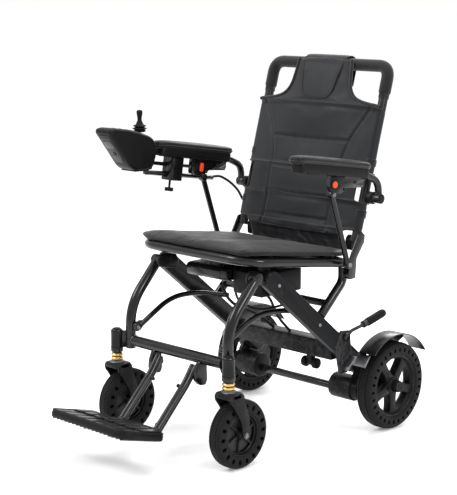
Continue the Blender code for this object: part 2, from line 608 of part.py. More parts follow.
def control_pod():
    """Joystick pod on two rods that slide in the clamp under the right armrest.

    The pod's empty follows the armrest's slope.
    """
    rail = empty("pod_rail", ARM_PIVOT + Vector((-ARM_X, 0, 0)), ARM_SLOPE)
    x = ROD_X
    rods = bar("pod_rods", [(x, -0.352, 0.0020), (x, -0.100, 0.0020)], 0.0070, FRAME_PAINT, rail,
               sides=14)
    upper = bar("upper", [(x, -0.352, 0.0285), (x, -0.185, 0.0285)], 0.0055, FRAME_PAINT, rail,
                sides=14)
    tie = block("tie", (x - 0.006, -0.356, -0.003), (x + 0.006, -0.346, 0.033), FRAME_PAINT, rail)
    weld(rods, upper, tie)
    knob = []
    for k in range(24):
        a = 2 * math.pi * k / 24
        radius = 0.0125 + 0.0020 * math.cos(4 * a)
        knob.append((x + radius * math.cos(a), CLAMP_Y + radius * math.sin(a)))
    screw = prism("thumb_screw", knob, -0.044, -0.034, BLACK_PLASTIC, rail, axis="Z")
    shank = prism("shank", list(arc((x, CLAMP_Y), 0.0032, 0, 330, 11)), -0.036, -0.0085,
                  BLACK_PLASTIC, rail, axis="Z")
    weld(screw, shank)
    side_outline = [(-0.208, 0.806), (-0.186, 0.808), (-0.107, 0.793), (-0.067, 0.779),
                    (-0.047, 0.760), (-0.047, 0.728), (-0.061, 0.692), (-0.124, 0.690),
                    (-0.142, 0.702), (-0.214, 0.797)]
    housing = prism("pod_housing", side_outline, POD_X - 0.033, POD_X + 0.033, BLACK_PLASTIC,
                    bevel=0.006)
    slot = prism("slot", [(-0.060, 0.660), (-0.035, 0.660), (-0.035, 0.735), (-0.060, 0.735)],
                 POD_X - 0.015, POD_X + 0.009, BLACK_PLASTIC)
    cut(housing, slot)
    pivot = Vector((POD_X, -0.082, 0.782))
    cut(housing, upright("well", [(-0.006, 0.0215), (0.040, 0.0215)], pivot, RUBBER, 20))
    weld(housing, upright("stub", [(-0.0100, 0.0030), (-0.0025, 0.0030)], pivot, STEEL, 10))
    upright("joystick_gimbal", [(-0.0010, 0.0090), (0.0030, 0.0090)], pivot, STEEL, 16)
    upright("joystick", [(0.0075, 0.0090), (0.0125, 0.0150), (0.0205, 0.0170), (0.0235, 0.0172),
                         (0.0330, 0.0090), (0.0400, 0.0052), (0.0620, 0.0060), (0.0650, 0.0045)],
            pivot, RUBBER, 20)
    keys(housing)


def keys(housing):
    """Two keys in recesses on the pod's sloping top, in front of the joystick."""
    slope = math.atan2(0.808 - 0.793, 0.186 - 0.107)
    for name, dx, y in (("power_key", -0.012, -0.160), ("horn_key", 0.012, -0.160)):
        top = 0.808 - (y + 0.186) * math.tan(slope)
        seat_at = empty(name + "_seat", (POD_X + dx, y, top), -slope)
        well = prism("well", list(arc((0, 0), 0.0060, 0, 337.5, 15)), -0.004, 0.010, BLACK_PLASTIC,
                     seat_at, axis="Z")
        bpy.context.view_layer.update()
        cut(housing, well)
        prism(name, list(arc((0, 0), 0.0055, 0, 337.5, 15)), -0.0020, 0.0012, STEEL, seat_at,
              axis="Z")


def joystick_cable():
    """Lead from the rods' rear end down to its clip beside the armrest pivot."""
    route = rounded([(-0.2685, 0.196, 0.6445), (-0.2685, 0.222, 0.6440), (-0.2680, 0.262, 0.6240),
                     (-0.2650, 0.2930, 0.5960), (-0.2600, 0.3050, 0.5700)], 0.03, 4)
    bar("joystick_cable", route, 0.0035, RUBBER, sides=8)


# ---- build --------------------------------------------------------------------------------
for each in (LEFT, RIGHT):
    main_beam(each)
    seat_post(each)
    drive_motor(each)
    fender(each)
    rear_wheel(each)
    brake(each)
    front_leg(each)
    brace_link(each)
    caster(each)
    footrest_arm(each)
    armrest(each)

rear_cross_member()
transport_rollers()
bar("post_cross_tube", [(-0.1768, 0.165, 0.3557), (0.1768, 0.165, 0.3557)], 0.010, FRAME_PAINT,
    sides=14)
bar("axle_tube", [(-0.1346, 0.262, 0.104), (0.1346, 0.262, 0.104)], 0.0105, FRAME_PAINT, sides=14)
front_crossbar()
footplate()
seat()
power_pack()
backrest()
control_pod()
joystick_cable()
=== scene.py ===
"""Looks of the folding power wheelchair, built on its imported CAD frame."""

import math

import bmesh
import bpy
from mathutils import Matrix, Vector, noise


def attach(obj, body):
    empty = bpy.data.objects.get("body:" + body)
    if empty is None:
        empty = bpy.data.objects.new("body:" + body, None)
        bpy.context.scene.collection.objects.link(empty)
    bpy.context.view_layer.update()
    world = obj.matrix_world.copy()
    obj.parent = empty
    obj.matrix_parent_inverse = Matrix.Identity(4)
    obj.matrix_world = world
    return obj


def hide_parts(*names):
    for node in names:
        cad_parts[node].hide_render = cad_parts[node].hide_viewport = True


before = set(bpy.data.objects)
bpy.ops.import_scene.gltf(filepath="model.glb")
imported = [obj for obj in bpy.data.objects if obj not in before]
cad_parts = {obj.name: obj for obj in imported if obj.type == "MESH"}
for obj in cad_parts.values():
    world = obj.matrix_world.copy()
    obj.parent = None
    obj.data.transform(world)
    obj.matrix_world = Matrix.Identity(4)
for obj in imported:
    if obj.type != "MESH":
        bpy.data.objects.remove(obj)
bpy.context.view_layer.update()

SIDES = ((1, "_L"), (-1, "_R"))
HANGERS = ((1, 0.07, "_L"), (-1, -0.06, "_R"))  # side, x and name ending of the footrest arms
REAR_AXLE = (0.34, 0.118)  # y and z
CASTER_X, STEM_Y = 0.207, -0.218  # the casters' upright stems
LEG_X, LEG_Y = 0.18, -0.193  # the front legs' upright part
POD_X, STICK_Y, STICK_Z = -0.262, -0.082, 0.782  # the joystick's pivot
TUBE_X = 0.205  # half the distance between the back tubes
BACK = Matrix.Translation((0, 0.256, 0.522)) @ Matrix.Rotation(math.radians(-16), 4, "X")
SEAT = Matrix.Translation((0, 0.06, 0.4807)) @ Matrix.Rotation(math.radians(-7.6), 4, "X")
PLATE = Matrix.Translation((0, -0.33, 0.094)) @ Matrix.Rotation(math.radians(-14.5), 4, "X")


def mm(*points, x=1):
    """Points given in millimetres; x multiplies the first number of each."""
    return [(x * p[0] / 1000, *(v / 1000 for v in p[1:])) for p in points]


def rectangle(a, b, c, d):
    """Corners of the rectangle from a to b and from c to d."""
    return [(a, c), (b, c), (b, d), (a, d)]


def oblong(*edges):
    """Rectangle given in millimetres."""
    return rectangle(*(v / 1000 for v in edges))


def at(x, *points):
    """Points in millimetres on the plane at x."""
    return [(x, *(v / 1000 for v in p)) for p in points]


def arm_frame(side):
    """Place of an armrest: its pivot and its slope."""
    slope = Matrix.Rotation(math.radians(-8.5), 4, "X")
    return Matrix.Translation((side * 0.25, 0.2905, 0.625)) @ slope


# ---- materials ----------------------------------------------------------------------------
def node(tree, kind, *feeds, **values):
    """New shader node. feeds fill its first inputs, values its inputs or settings by name."""
    made = tree.nodes.new("ShaderNode" + kind)
    for key, value in [*enumerate(feeds), *values.items()]:
        if isinstance(key, str) and key not in made.inputs:
            setattr(made, key, value)
        elif isinstance(value, bpy.types.NodeSocket):
            tree.links.new(value, made.inputs[key])
        else:
            made.inputs[key].default_value = value
    return made


def ramp(tree, source, low, high):
    """Colour ramp between two positions."""
    made = node(tree, "ValToRGB", source)
    for stop, position in zip(made.color_ramp.elements, (low, high)):
        stop.position = position
    return made


def surface(name, colour, rough, metallic=0.0, mottle=0.12, grain=600.0, bump=0.25, depth=0.0003,
        coat=0.0, sheen=0.0, spread=0.07, worn=None, cells=False, gleam=0.13):
    """Material with mottled colour, uneven roughness, a fine grain and optional worn edges."""
    material = bpy.data.materials.new(name)
    material.use_nodes = True
    tree = material.node_tree
    shader = tree.nodes["Principled BSDF"]
    for key, value in {"Metallic": metallic, "Specular IOR Level": gleam, "Coat Weight": coat,
            "Coat Roughness": 0.12, "Sheen Weight": sheen, "Sheen Roughness": 0.5}.items():
        shader.inputs[key].default_value = value
    place = node(tree, "TexCoord").outputs["Object"]
    broad = node(tree, "TexNoise", place, Scale=14.0, Detail=6.0, Roughness=0.6)
    mottled = ramp(tree, broad.outputs["Fac"], 0.35, 0.65)
    for stop, factor in zip(mottled.color_ramp.elements, (1 - mottle, 1 + mottle)):
        stop.color = [min(1.0, c * factor) for c in colour] + [1.0]
    tint = mottled.outputs["Color"]
    if worn:
        scuff = node(tree, "TexNoise", place, Scale=90.0, Detail=8.0, Roughness=0.75)
        edges = node(tree, "NewGeometry").outputs["Pointiness"]
        add = node(tree, "Math", scuff.outputs["Fac"], 0.25, edges, operation="MULTIPLY_ADD")
        share = ramp(tree, add.outputs[0], 0.66, 0.74).outputs["Color"]
        mixed = node(tree, "Mix", share, data_type="RGBA")
        tree.links.new(tint, mixed.inputs[6])
        mixed.inputs[7].default_value = list(worn) + [1.0]
        tint = mixed.outputs[2]
    tree.links.new(tint, shader.inputs["Base Color"])
    smear = node(tree, "TexNoise", place, Scale=38.0, Detail=5.0).outputs["Fac"]
    vary = node(tree, "MapRange", smear, 0.3, 0.7, rough - spread, rough + spread)
    tree.links.new(vary.outputs["Result"], shader.inputs["Roughness"])
    if cells:
        height = node(tree, "TexVoronoi", place, Scale=grain).outputs["Distance"]
    else:
        height = node(tree, "TexNoise", place, Scale=grain, Detail=3.0).outputs["Fac"]
    relief = node(tree, "Bump", Strength=bump, Distance=depth, Height=height)
    tree.links.new(relief.outputs["Normal"], shader.inputs["Normal"])
    return material


def treaded(name, centre, count, ribs_from, **look):
    """Tyre rubber with fine ribs across the tread, cut by the angle round the wheel's axle."""
    material = surface(name, **look)
    tree = material.node_tree
    normal = tree.nodes["Principled BSDF"].inputs["Normal"]
    place = node(tree, "TexCoord").outputs["Object"]
    local = node(tree, "VectorMath", place, (0, centre[1], centre[2]), operation="SUBTRACT")
    parts = node(tree, "SeparateXYZ", local.outputs[0]).outputs
    angle = node(tree, "Math", parts["Z"], parts["Y"], operation="ARCTAN2")
    turns = node(tree, "Math", angle.outputs[0], count, operation="MULTIPLY")
    wave = node(tree, "Math", turns.outputs[0], operation="SINE")
    flat = node(tree, "CombineXYZ", 0, parts["Y"], parts["Z"])
    radius = node(tree, "VectorMath", flat.outputs[0], operation="LENGTH")
    outer = node(tree, "MapRange", radius.outputs["Value"], ribs_from, ribs_from + 0.0015)
    height = node(tree, "Math", wave.outputs[0], outer.outputs["Result"], operation="MULTIPLY")
    relief = node(tree, "Bump", Strength=0.9, Distance=0.0008, Height=height.outputs[0],
        Normal=normal.links[0].from_socket)
    tree.links.new(relief.outputs["Normal"], normal)
    return material


PAINT = surface("satin black paint", (0.003, 0.0031, 0.0034), 0.22, coat=0.2, grain=900, bump=0.05,
    worn=(0.02, 0.02, 0.022), spread=0.05, gleam=0.24)
BEAM = surface("dark grey metallic paint", (0.006, 0.0063, 0.007), 0.34, metallic=0.15, grain=1200,
    bump=0.1, worn=(0.05, 0.05, 0.052))
CAST = surface("black coated casting", (0.0036, 0.0036, 0.0038), 0.4, grain=500, bump=0.25,
    worn=(0.03, 0.03, 0.03))
MOULDED = surface("textured black plastic", (0.0042, 0.0042, 0.0046), 0.44, grain=1500, bump=0.35,
    depth=0.0002)
SMOOTH = surface("smooth dark grey plastic", (0.012, 0.0123, 0.0134), 0.32, grain=900, bump=0.12)
GLOSSY = surface("glossy black plastic", (0.0045, 0.0045, 0.005), 0.27, coat=0.04, grain=200,
    bump=0.05, spread=0.03, gleam=0.34)
RUBBER = surface("matte rubber", (0.004, 0.004, 0.0042), 0.56, grain=900, bump=0.3)
FOAM = surface("dense foam sleeve", (0.0062, 0.0062, 0.0066), 0.7, grain=1800, bump=0.6,
    depth=0.0003, sheen=0.2)
HIDE = {"grain": 620, "bump": 0.35, "depth": 0.00025, "cells": True, "mottle": 0.1}
LEATHER = surface("charcoal leathercloth", (0.0078, 0.0084, 0.0104), 0.46, sheen=0.15, **HIDE)
DARK_LEATHER = surface("black leathercloth", (0.0036, 0.0037, 0.0042), 0.42, sheen=0.12, **HIDE)
BINDING = surface("woven binding tape", (0.0045, 0.0045, 0.0048), 0.75, grain=1400, bump=0.8,
    depth=0.0003, sheen=0.3)
BRASS = surface("yellow brass", (0.58, 0.38, 0.13), 0.34, metallic=1.0, grain=300, bump=0.1,
    gleam=0.5)
STEEL = surface("zinc plated steel", (0.2, 0.2, 0.21), 0.38, metallic=1.0, grain=700, bump=0.15,
    gleam=0.5)
ORANGE = surface("orange red plastic", (0.82, 0.065, 0.018), 0.35, grain=800, bump=0.1)
TREAD = {"colour": (0.0055, 0.0055, 0.0057), "rough": 0.6, "grain": 500, "bump": 0.3}
SLOTS = {PAINT.name: "frame_paint", BEAM.name: "beam_paint", CAST.name: "cast_metal",
    MOULDED.name: "black_plastic", SMOOTH.name: "black_plastic", GLOSSY.name: "gloss_plastic",
    RUBBER.name: "rubber", FOAM.name: "foam", LEATHER.name: "leather", DARK_LEATHER.name: "leather",
    BINDING.name: "leather", BRASS.name: "cast_metal", STEEL.name: "steel",
    ORANGE.name: "orange_plastic"}


# ---- mesh helpers -------------------------------------------------------------------------
def linked(name, data):
    """New object in the scene."""
    made = bpy.data.objects.new(name, data)
    bpy.context.scene.collection.objects.link(made)
    return made


def shade(mesh, angle):
    """Smooth shading up to a crease angle in degrees."""
    mesh.polygons.foreach_set("use_smooth", [True] * len(mesh.polygons))
    mesh.set_sharp_from_angle(angle=math.radians(angle))


def bake(made):
    """Put what the object's modifiers make into its mesh."""
    graph = bpy.context.evaluated_depsgraph_get()
    mesh = bpy.data.meshes.new_from_object(made.evaluated_get(graph))
    made.modifiers.clear()
    made.data = mesh
    return mesh


def join(bm, own):
    """Move the mesh in own into bm."""
    mesh = bpy.data.meshes.new("part")
    own.to_mesh(mesh)
    own.free()
    bm.from_mesh(mesh)
    bpy.data.meshes.remove(mesh)
    return bm


def skin(bm, rings, around=False):
    """Side faces between rings of vertices; around joins the last ring to the first."""
    for low, high in zip(rings, rings[1:] + rings[:1] if around else rings[1:]):
        for k in range(len(low)):
            n = (k + 1) % len(low)
            bm.faces.new((low[k], low[n], high[n], high[k]))


def spin(k, count, start=0.0):
    """Cosine and sine of step k of a full turn in count steps."""
    a = 2 * math.pi * k / count + start
    return math.cos(a), math.sin(a)


def span(side, a, b):
    """Low and high x of a slab between a and b on one side of the chair."""
    return sorted((side * a, side * b))


def piece(name, bm, material, body, replaces=(), slot=None, angle=38.0, place=None):
    """A finished mesh riding on a body; its slot argument is not used."""
    bmesh.ops.recalc_face_normals(bm, faces=bm.faces)
    mesh = bpy.data.meshes.new(name)
    bm.to_mesh(mesh)
    bm.free()
    if place is not None:
        mesh.transform(place)
    shade(mesh, angle)
    made = linked(name, mesh)
    mesh.materials.append(material)
    if replaces:
        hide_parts(*replaces)
    slot = slot or SLOTS.get(material.name)
    if body:
        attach(made, body)
    return made


def soften(bm, width, segments=2, angle=30.0):
    """Bevel the edges that turn by more than angle."""
    sharp = []
    for edge in bm.edges:
        if len(edge.link_faces) == 2 and edge.calc_face_angle(0) > math.radians(angle):
            sharp.append(edge)
    bmesh.ops.bevel(bm, geom=sharp, offset=width, segments=segments, profile=0.5, affect="EDGES",
        clamp_overlap=False)
    return bm


def rounded(before, corner, after, radius, share, steps):
    """Curve that rounds one corner and takes at most a share of either side."""
    a, b = before - corner, after - corner
    reach = min(radius, a.length * share, b.length * share)
    start, end = corner + a.normalized() * reach, corner + b.normalized() * reach
    for k in range(steps + 1):
        t = k / steps
        yield start * (1 - t) ** 2 + corner * 2 * t * (1 - t) + end * t * t


def bend(points, radius, steps=6):
    """Path with its inner corners rounded."""
    points = [Vector(p) for p in points]
    path = [points[0]]
    for before, corner, after in zip(points, points[1:], points[2:]):
        path += rounded(before, corner, after, radius, 0.48, steps)
    return path + [points[-1]]


def tube(bm, path, radius, sides=24, loop=False, cap=0.0012):
    """Round bar along a path. radius is a number or a function of the share of the path."""
    path = [Vector(p) for p in path]
    count = len(path)
    lengths = [0.0]
    for a, b in zip(path, path[1:]):
        lengths.append(lengths[-1] + (b - a).length)
    tangents = []
    for k in range(count):
        before = path[k - 1] if k or loop else path[0]
        after = path[(k + 1) % count] if k < count - 1 or loop else path[-1]
        tangents.append((after - before).normalized())
    lift = Vector((0, 0, 1)) if abs(tangents[0].z) < 0.9 else Vector((0, 1, 0))
    normal = tangents[0].cross(lift).normalized()
    rings = []
    for k in range(count):
        if k:
            normal = tangents[k - 1].rotation_difference(tangents[k]) @ normal
        side = tangents[k].cross(normal)
        size = radius(lengths[k] / lengths[-1]) if callable(radius) else radius
        stops = [(0.0, size)]
        if not loop and k == 0:
            stops = [(-0.0, size - cap), (cap, size)]
        if not loop and k == count - 1:
            stops = [(-cap, size), (0.0, size - cap)]
        for shift, reach in stops:
            ring = []
            for j in range(sides):
                c, s = spin(j, sides)
                spot = path[k] + tangents[k] * shift + (normal * c + side * s) * reach
                ring.append(bm.verts.new(spot))
            rings.append(ring)
    skin(bm, rings, loop)
    if not loop:
        bm.faces.new(rings[0][::-1])
        bm.faces.new(rings[-1])
    return bm


def lathe(bm, profile, centre, axis="X", segments=64, ring=False):
    """(offset, radius) profile turned about an axis through centre."""
    turn = {"X": Matrix.Identity(3), "Z": Matrix.Rotation(math.radians(-90), 3, "Y"),
        "Y": Matrix.Rotation(math.radians(90), 3, "Z")}[axis]
    rings = []
    for offset, radius in profile:
        made = []
        for k in range(segments):
            c, s = spin(k, segments)
            spot = turn @ Vector((offset, radius * c, radius * s))
            made.append(bm.verts.new(Vector(centre) + spot))
        rings.append(made)
    skin(bm, rings, ring)
    if not ring:
        bm.faces.new(rings[0])
        bm.faces.new(rings[-1])
    return bm


def slab(bm, outline, low, high, axis="X", bevel=0.0):
    """Outline pushed along an axis. The outline's pair is the other two axes in order."""
    own = bmesh.new()
    order = {"X": lambda a, b, h: (h, a, b), "Z": lambda a, b, h: (a, b, h)}[axis]
    bottom = [own.verts.new(order(a, b, low)) for a, b in outline]
    top = [own.verts.new(order(a, b, high)) for a, b in outline]
    own.faces.new(bottom[::-1])
    own.faces.new(top)
    skin(own, [bottom, top])
    bmesh.ops.recalc_face_normals(own, faces=own.faces)
    if bevel:
        soften(own, bevel, 2, 25)
    return join(bm, own)


def arc(centre, radius, start, end, steps):
    """Points of a flat arc between two angles in degrees."""
    for k in range(steps + 1):
        a = math.radians(start + (end - start) * k / steps)
        yield (centre[0] + radius * math.cos(a), centre[1] + radius * math.sin(a))


def smooth_outline(points, radius, steps=5):
    """Closed outline with rounded corners."""
    points = [Vector((p[0], p[1], 0)) for p in points]
    made = []
    for k, corner in enumerate(points):
        curve = rounded(points[k - 1], corner, points[(k + 1) % len(points)], radius, 0.45, steps)
        made += [(spot.x, spot.y) for spot in curve]
    return made


def carve(target, cutter_bm):
    """Cut the closed shapes in cutter_bm out of target."""
    mesh = bpy.data.meshes.new("cutter")
    bmesh.ops.recalc_face_normals(cutter_bm, faces=cutter_bm.faces)
    cutter_bm.to_mesh(mesh)
    cutter_bm.free()
    cutter = linked("cutter", mesh)
    step = target.modifiers.new("carve", "BOOLEAN")
    step.operation = "DIFFERENCE"
    step.solver = "EXACT"
    step.object = cutter
    made = bake(target)
    bpy.data.objects.remove(cutter)
    shade(made, 32)
    return target


def refine(name, material, body, bevel, angle, slot=None):
    """Copy of a CAD node with its edges broken and its round faces smooth."""
    bm = bmesh.new()
    bm.from_mesh(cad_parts[name].data)
    bmesh.ops.remove_doubles(bm, verts=bm.verts, dist=1e-5)
    bmesh.ops.dissolve_limit(bm, angle_limit=math.radians(1), verts=bm.verts, edges=bm.edges)
    soften(bm, bevel, 2, angle)
    return piece(name + "_skin", bm, material, body, (name,), slot)


# ---- studio -------------------------------------------------------------------------------
# name, place, height of the point it looks at, width in metres, watts
LAMPS = (("key", (-1.6, -2.4, 2.9), 0.5, 1.6, 70), ("side", (3.4, -0.2, 2.2), 0.4, 1.4, 55),
    ("top", (0.2, 0.4, 3.2), 0.3, 2.2, 60), ("rear", (-1.2, 3.0, 2.2), 0.5, 1.6, 45))


def studio():
    """Camera, lights, pale floor and bright surroundings."""
    azimuth, elevation = 0.786367, 0.178649
    right = Vector((math.cos(azimuth), math.sin(azimuth), 0))
    away = Vector((math.sin(azimuth) * math.cos(elevation),
        -math.cos(azimuth) * math.cos(elevation), math.sin(elevation)))
    up = away.cross(right)
    camera = linked("camera", bpy.data.cameras.new("camera"))
    camera.data.lens = 104.37
    camera.data.clip_end = 60
    turn = Matrix((right, up, away)).transposed().to_4x4()
    camera.matrix_world = Matrix.Translation((2.5902, -2.5964, 1.1634)) @ turn
    bpy.context.scene.camera = camera
    for name, spot, aim_z, size, power in LAMPS:
        lamp = bpy.data.lights.new(name, "AREA")
        lamp.shape = "RECTANGLE"
        lamp.size, lamp.size_y = size, size * 0.7
        lamp.energy = power
        made = linked(name, lamp)
        made.location = spot
        way = Vector((0, 0, aim_z)) - Vector(spot)
        made.rotation_euler = way.to_track_quat("-Z", "Y").to_euler()
    world = bpy.data.worlds.new("studio")
    world.use_nodes = True
    sky = world.node_tree.nodes["Background"]
    sky.inputs["Color"].default_value = (1.0, 1.0, 1.0, 1.0)
    sky.inputs["Strength"].default_value = 1.0
    bpy.context.scene.world = world
    bpy.context.scene.view_settings.view_transform = "Standard"
    bpy.context.scene.view_settings.look = "None"
    bm = bmesh.new()
    bmesh.ops.create_circle(bm, cap_ends=True, radius=14, segments=96)
    for vert in bm.verts:
        vert.co.z = -0.0012
    paper = surface("pale studio floor", (0.9, 0.9, 0.905), 0.75, mottle=0.01, grain=300, bump=0.02)
    glow = paper.node_tree.nodes["Principled BSDF"]
    glow.inputs["Emission Color"].default_value = (1.0, 1.0, 1.0, 1.0)
    glow.inputs["Emission Strength"].default_value = 0.14
    floor = piece("studio_floor", bm, paper, None)


# ---- wheels -------------------------------------------------------------------------------
def oval_holes(centre, count, ring, radial, along, half):
    """Closed oval pins through a tyre, all round the axle."""
    cutters = bmesh.new()
    for k in range(count):
        c, s = spin(k, count)
        outline = []
        for j in range(14):
            p, q = spin(j, 14)
            r, t = ring + radial * p, along * q
            outline.append((centre.y + r * c - t * s, centre.z + r * s + t * c))
        slab(cutters, outline, centre.x - half, centre.x + half)
    return cutters


def tyre(name, rubber, centre, half, segments, replaced, body, holes):
    """Airless tyre: half a profile and its mirror image, with a ring of oval holes."""
    profile = half + [(-x, r) for x, r in reversed(half)]
    bm = lathe(bmesh.new(), profile, centre, segments=segments, ring=True)
    made = piece(name, bm, rubber, None, (replaced,), "tyre", 32)
    carve(made, oval_holes(centre, *holes))
    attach(made, body)


def spoke(centre, k, count, start):
    """Middle of the wheel and the two directions of spoke k, seen from the side."""
    c, s = spin(k, count, start)
    return Vector((centre.y, centre.z)), Vector((c, s)), Vector((-s, c))


def rear_wheel(side, tail):
    """Airless tyre with a ring of holes on a five-spoke cast wheel."""
    centre = Vector((side * 0.261, *REAR_AXLE))
    rubber = treaded("rear tyre rubber" + tail, centre, 110, 0.1115, **TREAD)
    half = mm((-20.5, 83.5), (-22.2, 85), (-23.8, 89), (-24, 96), (-23.8, 104), (-22.8, 109),
        (-20.5, 113.5), (-16.5, 116.2), (-12.5, 117.2), (-12, 116), (-10, 116), (-9.5, 117.8))
    tyre("rear_tyre_skin" + tail, rubber, centre, half, 120, "rear_tyre" + tail,
        "rear_wheel" + tail, (30, 0.0985, 0.0062, 0.004, 0.03))
    ring = mm((-19.5, 83), (19.5, 83), (20, 80.5), (18.5, 78), (12, 74.5), (10, 72.5), (-10, 72.5),
        (-12, 74.5), (-18.5, 78), (-20, 80.5), x=side)
    bm = lathe(bmesh.new(), ring, centre, segments=96, ring=True)
    for k in range(5):
        middle, out, across = spoke(centre, k, 5, -math.radians(90))
        edge = mm((16, 14.5), (30, 12.5), (55, 11.5), (70, 13), (75.5, 18))
        outline = [middle + out * r + across * w for r, w in edge]
        outline += [middle + out * r - across * w for r, w in reversed(edge)]
        slab(bm, [tuple(p) for p in outline],
            *sorted((centre.x + side * -0.012, centre.x + side * 0.0125)), bevel=0.0022)
    hub = mm((-23, 8), (-23.5, 18.5), (-22.5, 20), (10, 23.5), (15, 23), (16.5, 21.5), (17, 18),
        (18, 17.2), x=side)
    lathe(bm, hub, centre, segments=48)
    piece("rear_rim_skin" + tail, bm, CAST, "rear_wheel" + tail, ("rear_rim" + tail,), slot="rim",
        angle=30)
    cap = mm((16, 17), (30, 16), (32.5, 14.8), (33.2, 12.5), (32.6, 11), (32.6, 6), (33.4, 5),
        x=side)
    bm = lathe(bmesh.new(), cap, centre, segments=48)
    piece("hub_cap" + tail, bm, MOULDED, "rear_wheel" + tail, slot="rim")


def caster(side, tail):
    """Front caster: tyre with holes, ribbed wheel centre, fork, spring collar and washers."""
    centre = Vector((side * CASTER_X, -0.185, 0.087))
    body = "caster_wheel" + tail
    rubber = treaded("caster tyre rubber" + tail, centre, 84, 0.0815, **TREAD)
    half = mm((-16.5, 54), (-18.2, 55.2), (-19.6, 59), (-20, 68), (-19.8, 76), (-18.6, 80.5),
        (-16, 84.2), (-12, 86.2), (-9.2, 86.6), (-8.8, 85.6), (-7.4, 85.6), (-7, 86.9))
    tyre("caster_tyre" + tail, rubber, centre, half, 112, body, body,
        (18, 0.0698, 0.0072, 0.0052, 0.03))
    bm = bmesh.new()
    ring = mm((-17, 53.8), (17, 53.8), (17.8, 52.5), (17.2, 50.8), (12, 49), (10, 46.2), (3.5, 45),
        (-3.5, 45), (-10, 46.2), (-12, 49), (-17.2, 50.8), (-17.8, 52.5))
    lathe(bm, ring, centre, segments=96, ring=True)
    lathe(bm, mm((-2.5, 6), (-2.8, 46.5), (2.8, 46.5), (2.5, 6)), centre, segments=64, ring=True)
    for k in range(6):
        middle, out, across = spoke(centre, k, 6, 0.35)
        edge = mm((12, 3.4), (47.5, 2.4), (47.5, -2.4), (12, -3.4))
        outline = [middle + out * r + across * w for r, w in edge]
        slab(bm, [tuple(p) for p in outline], centre.x - 0.0105, centre.x + 0.0105, bevel=0.001)
    hub = mm((-21.5, 5.8), (-21.5, 10.5), (-20.5, 11.5), (-12, 14.5), (12, 14.5), (20.5, 11.5),
        (21.5, 10.5), (21.5, 5.8))
    lathe(bm, hub, centre, segments=40, ring=True)
    piece("caster_rim" + tail, bm, CAST, body, slot="rim", angle=30)
    fork(side, tail, centre)
    stem = (side * CASTER_X, STEM_Y, 0.0)
    bm = bmesh.new()
    for low in (0.2055, 0.215):
        lathe(bm, [(low, 0.0118), (low, 0.0142), (low + 0.0018, 0.0156), (low + 0.0052, 0.0156),
            (low + 0.007, 0.0142), (low + 0.007, 0.0118)], stem, "Z", 48, ring=True)
    piece("brass_collar" + tail, bm, BRASS, "caster_fork" + tail, angle=25)
    bm = lathe(bmesh.new(), mm((198.5, 11.6), (198.5, 19), (201.2, 19), (201.8, 15), (204, 15),
        (204, 11.6)), stem, "Z", 40, ring=True)
    piece("stem_washer" + tail, bm, STEEL, "caster_fork" + tail, angle=25)


def fork(side, tail, axle):
    """Arched crown and two tapered blades that sweep back to the axle."""
    x, y = side * CASTER_X, STEM_Y
    bm = bmesh.new()
    crown = smooth_outline(rectangle(x - 0.029, x + 0.029, y - 0.021, y + 0.027), 0.012)
    slab(bm, crown, 0.1835, 0.1975, "Z", 0.003)
    blade = [(y - 0.0195, 0.195), (y + 0.0255, 0.195), (y + 0.0285, 0.18), (axle.y + 0.013, 0.13),
        (axle.y + 0.0105, 0.088), (axle.y + 0.006, 0.079), (axle.y - 0.006, 0.078),
        (axle.y - 0.011, 0.086), (axle.y - 0.014, 0.12), (y - 0.008, 0.164), (y - 0.0195, 0.178)]
    for s in (-1, 1):
        low, high = sorted((x + s * 0.024, x + s * 0.029))
        slab(bm, smooth_outline(blade, 0.01), low, high, bevel=0.0012)
    lathe(bm, [(0.192, 0.0112), (0.2256, 0.0112)], (x, y, 0), "Z", 32)
    piece("fork_skin" + tail, bm, CAST, "caster_fork" + tail, ("caster_fork" + tail,), angle=30)
    bm = bmesh.new()
    for s in (-1, 1):
        profile = mm((28.5, 7.8), (30, 7.8), (30.2, 6.4), (32.8, 6), (33.8, 4), (32.6, 3.4),
            (32.6, 0.8), x=s)
        lathe(bm, profile, (x, axle.y, axle.z), segments=24)
    piece("axle_bolt" + tail, bm, STEEL, "caster_fork" + tail, angle=28)


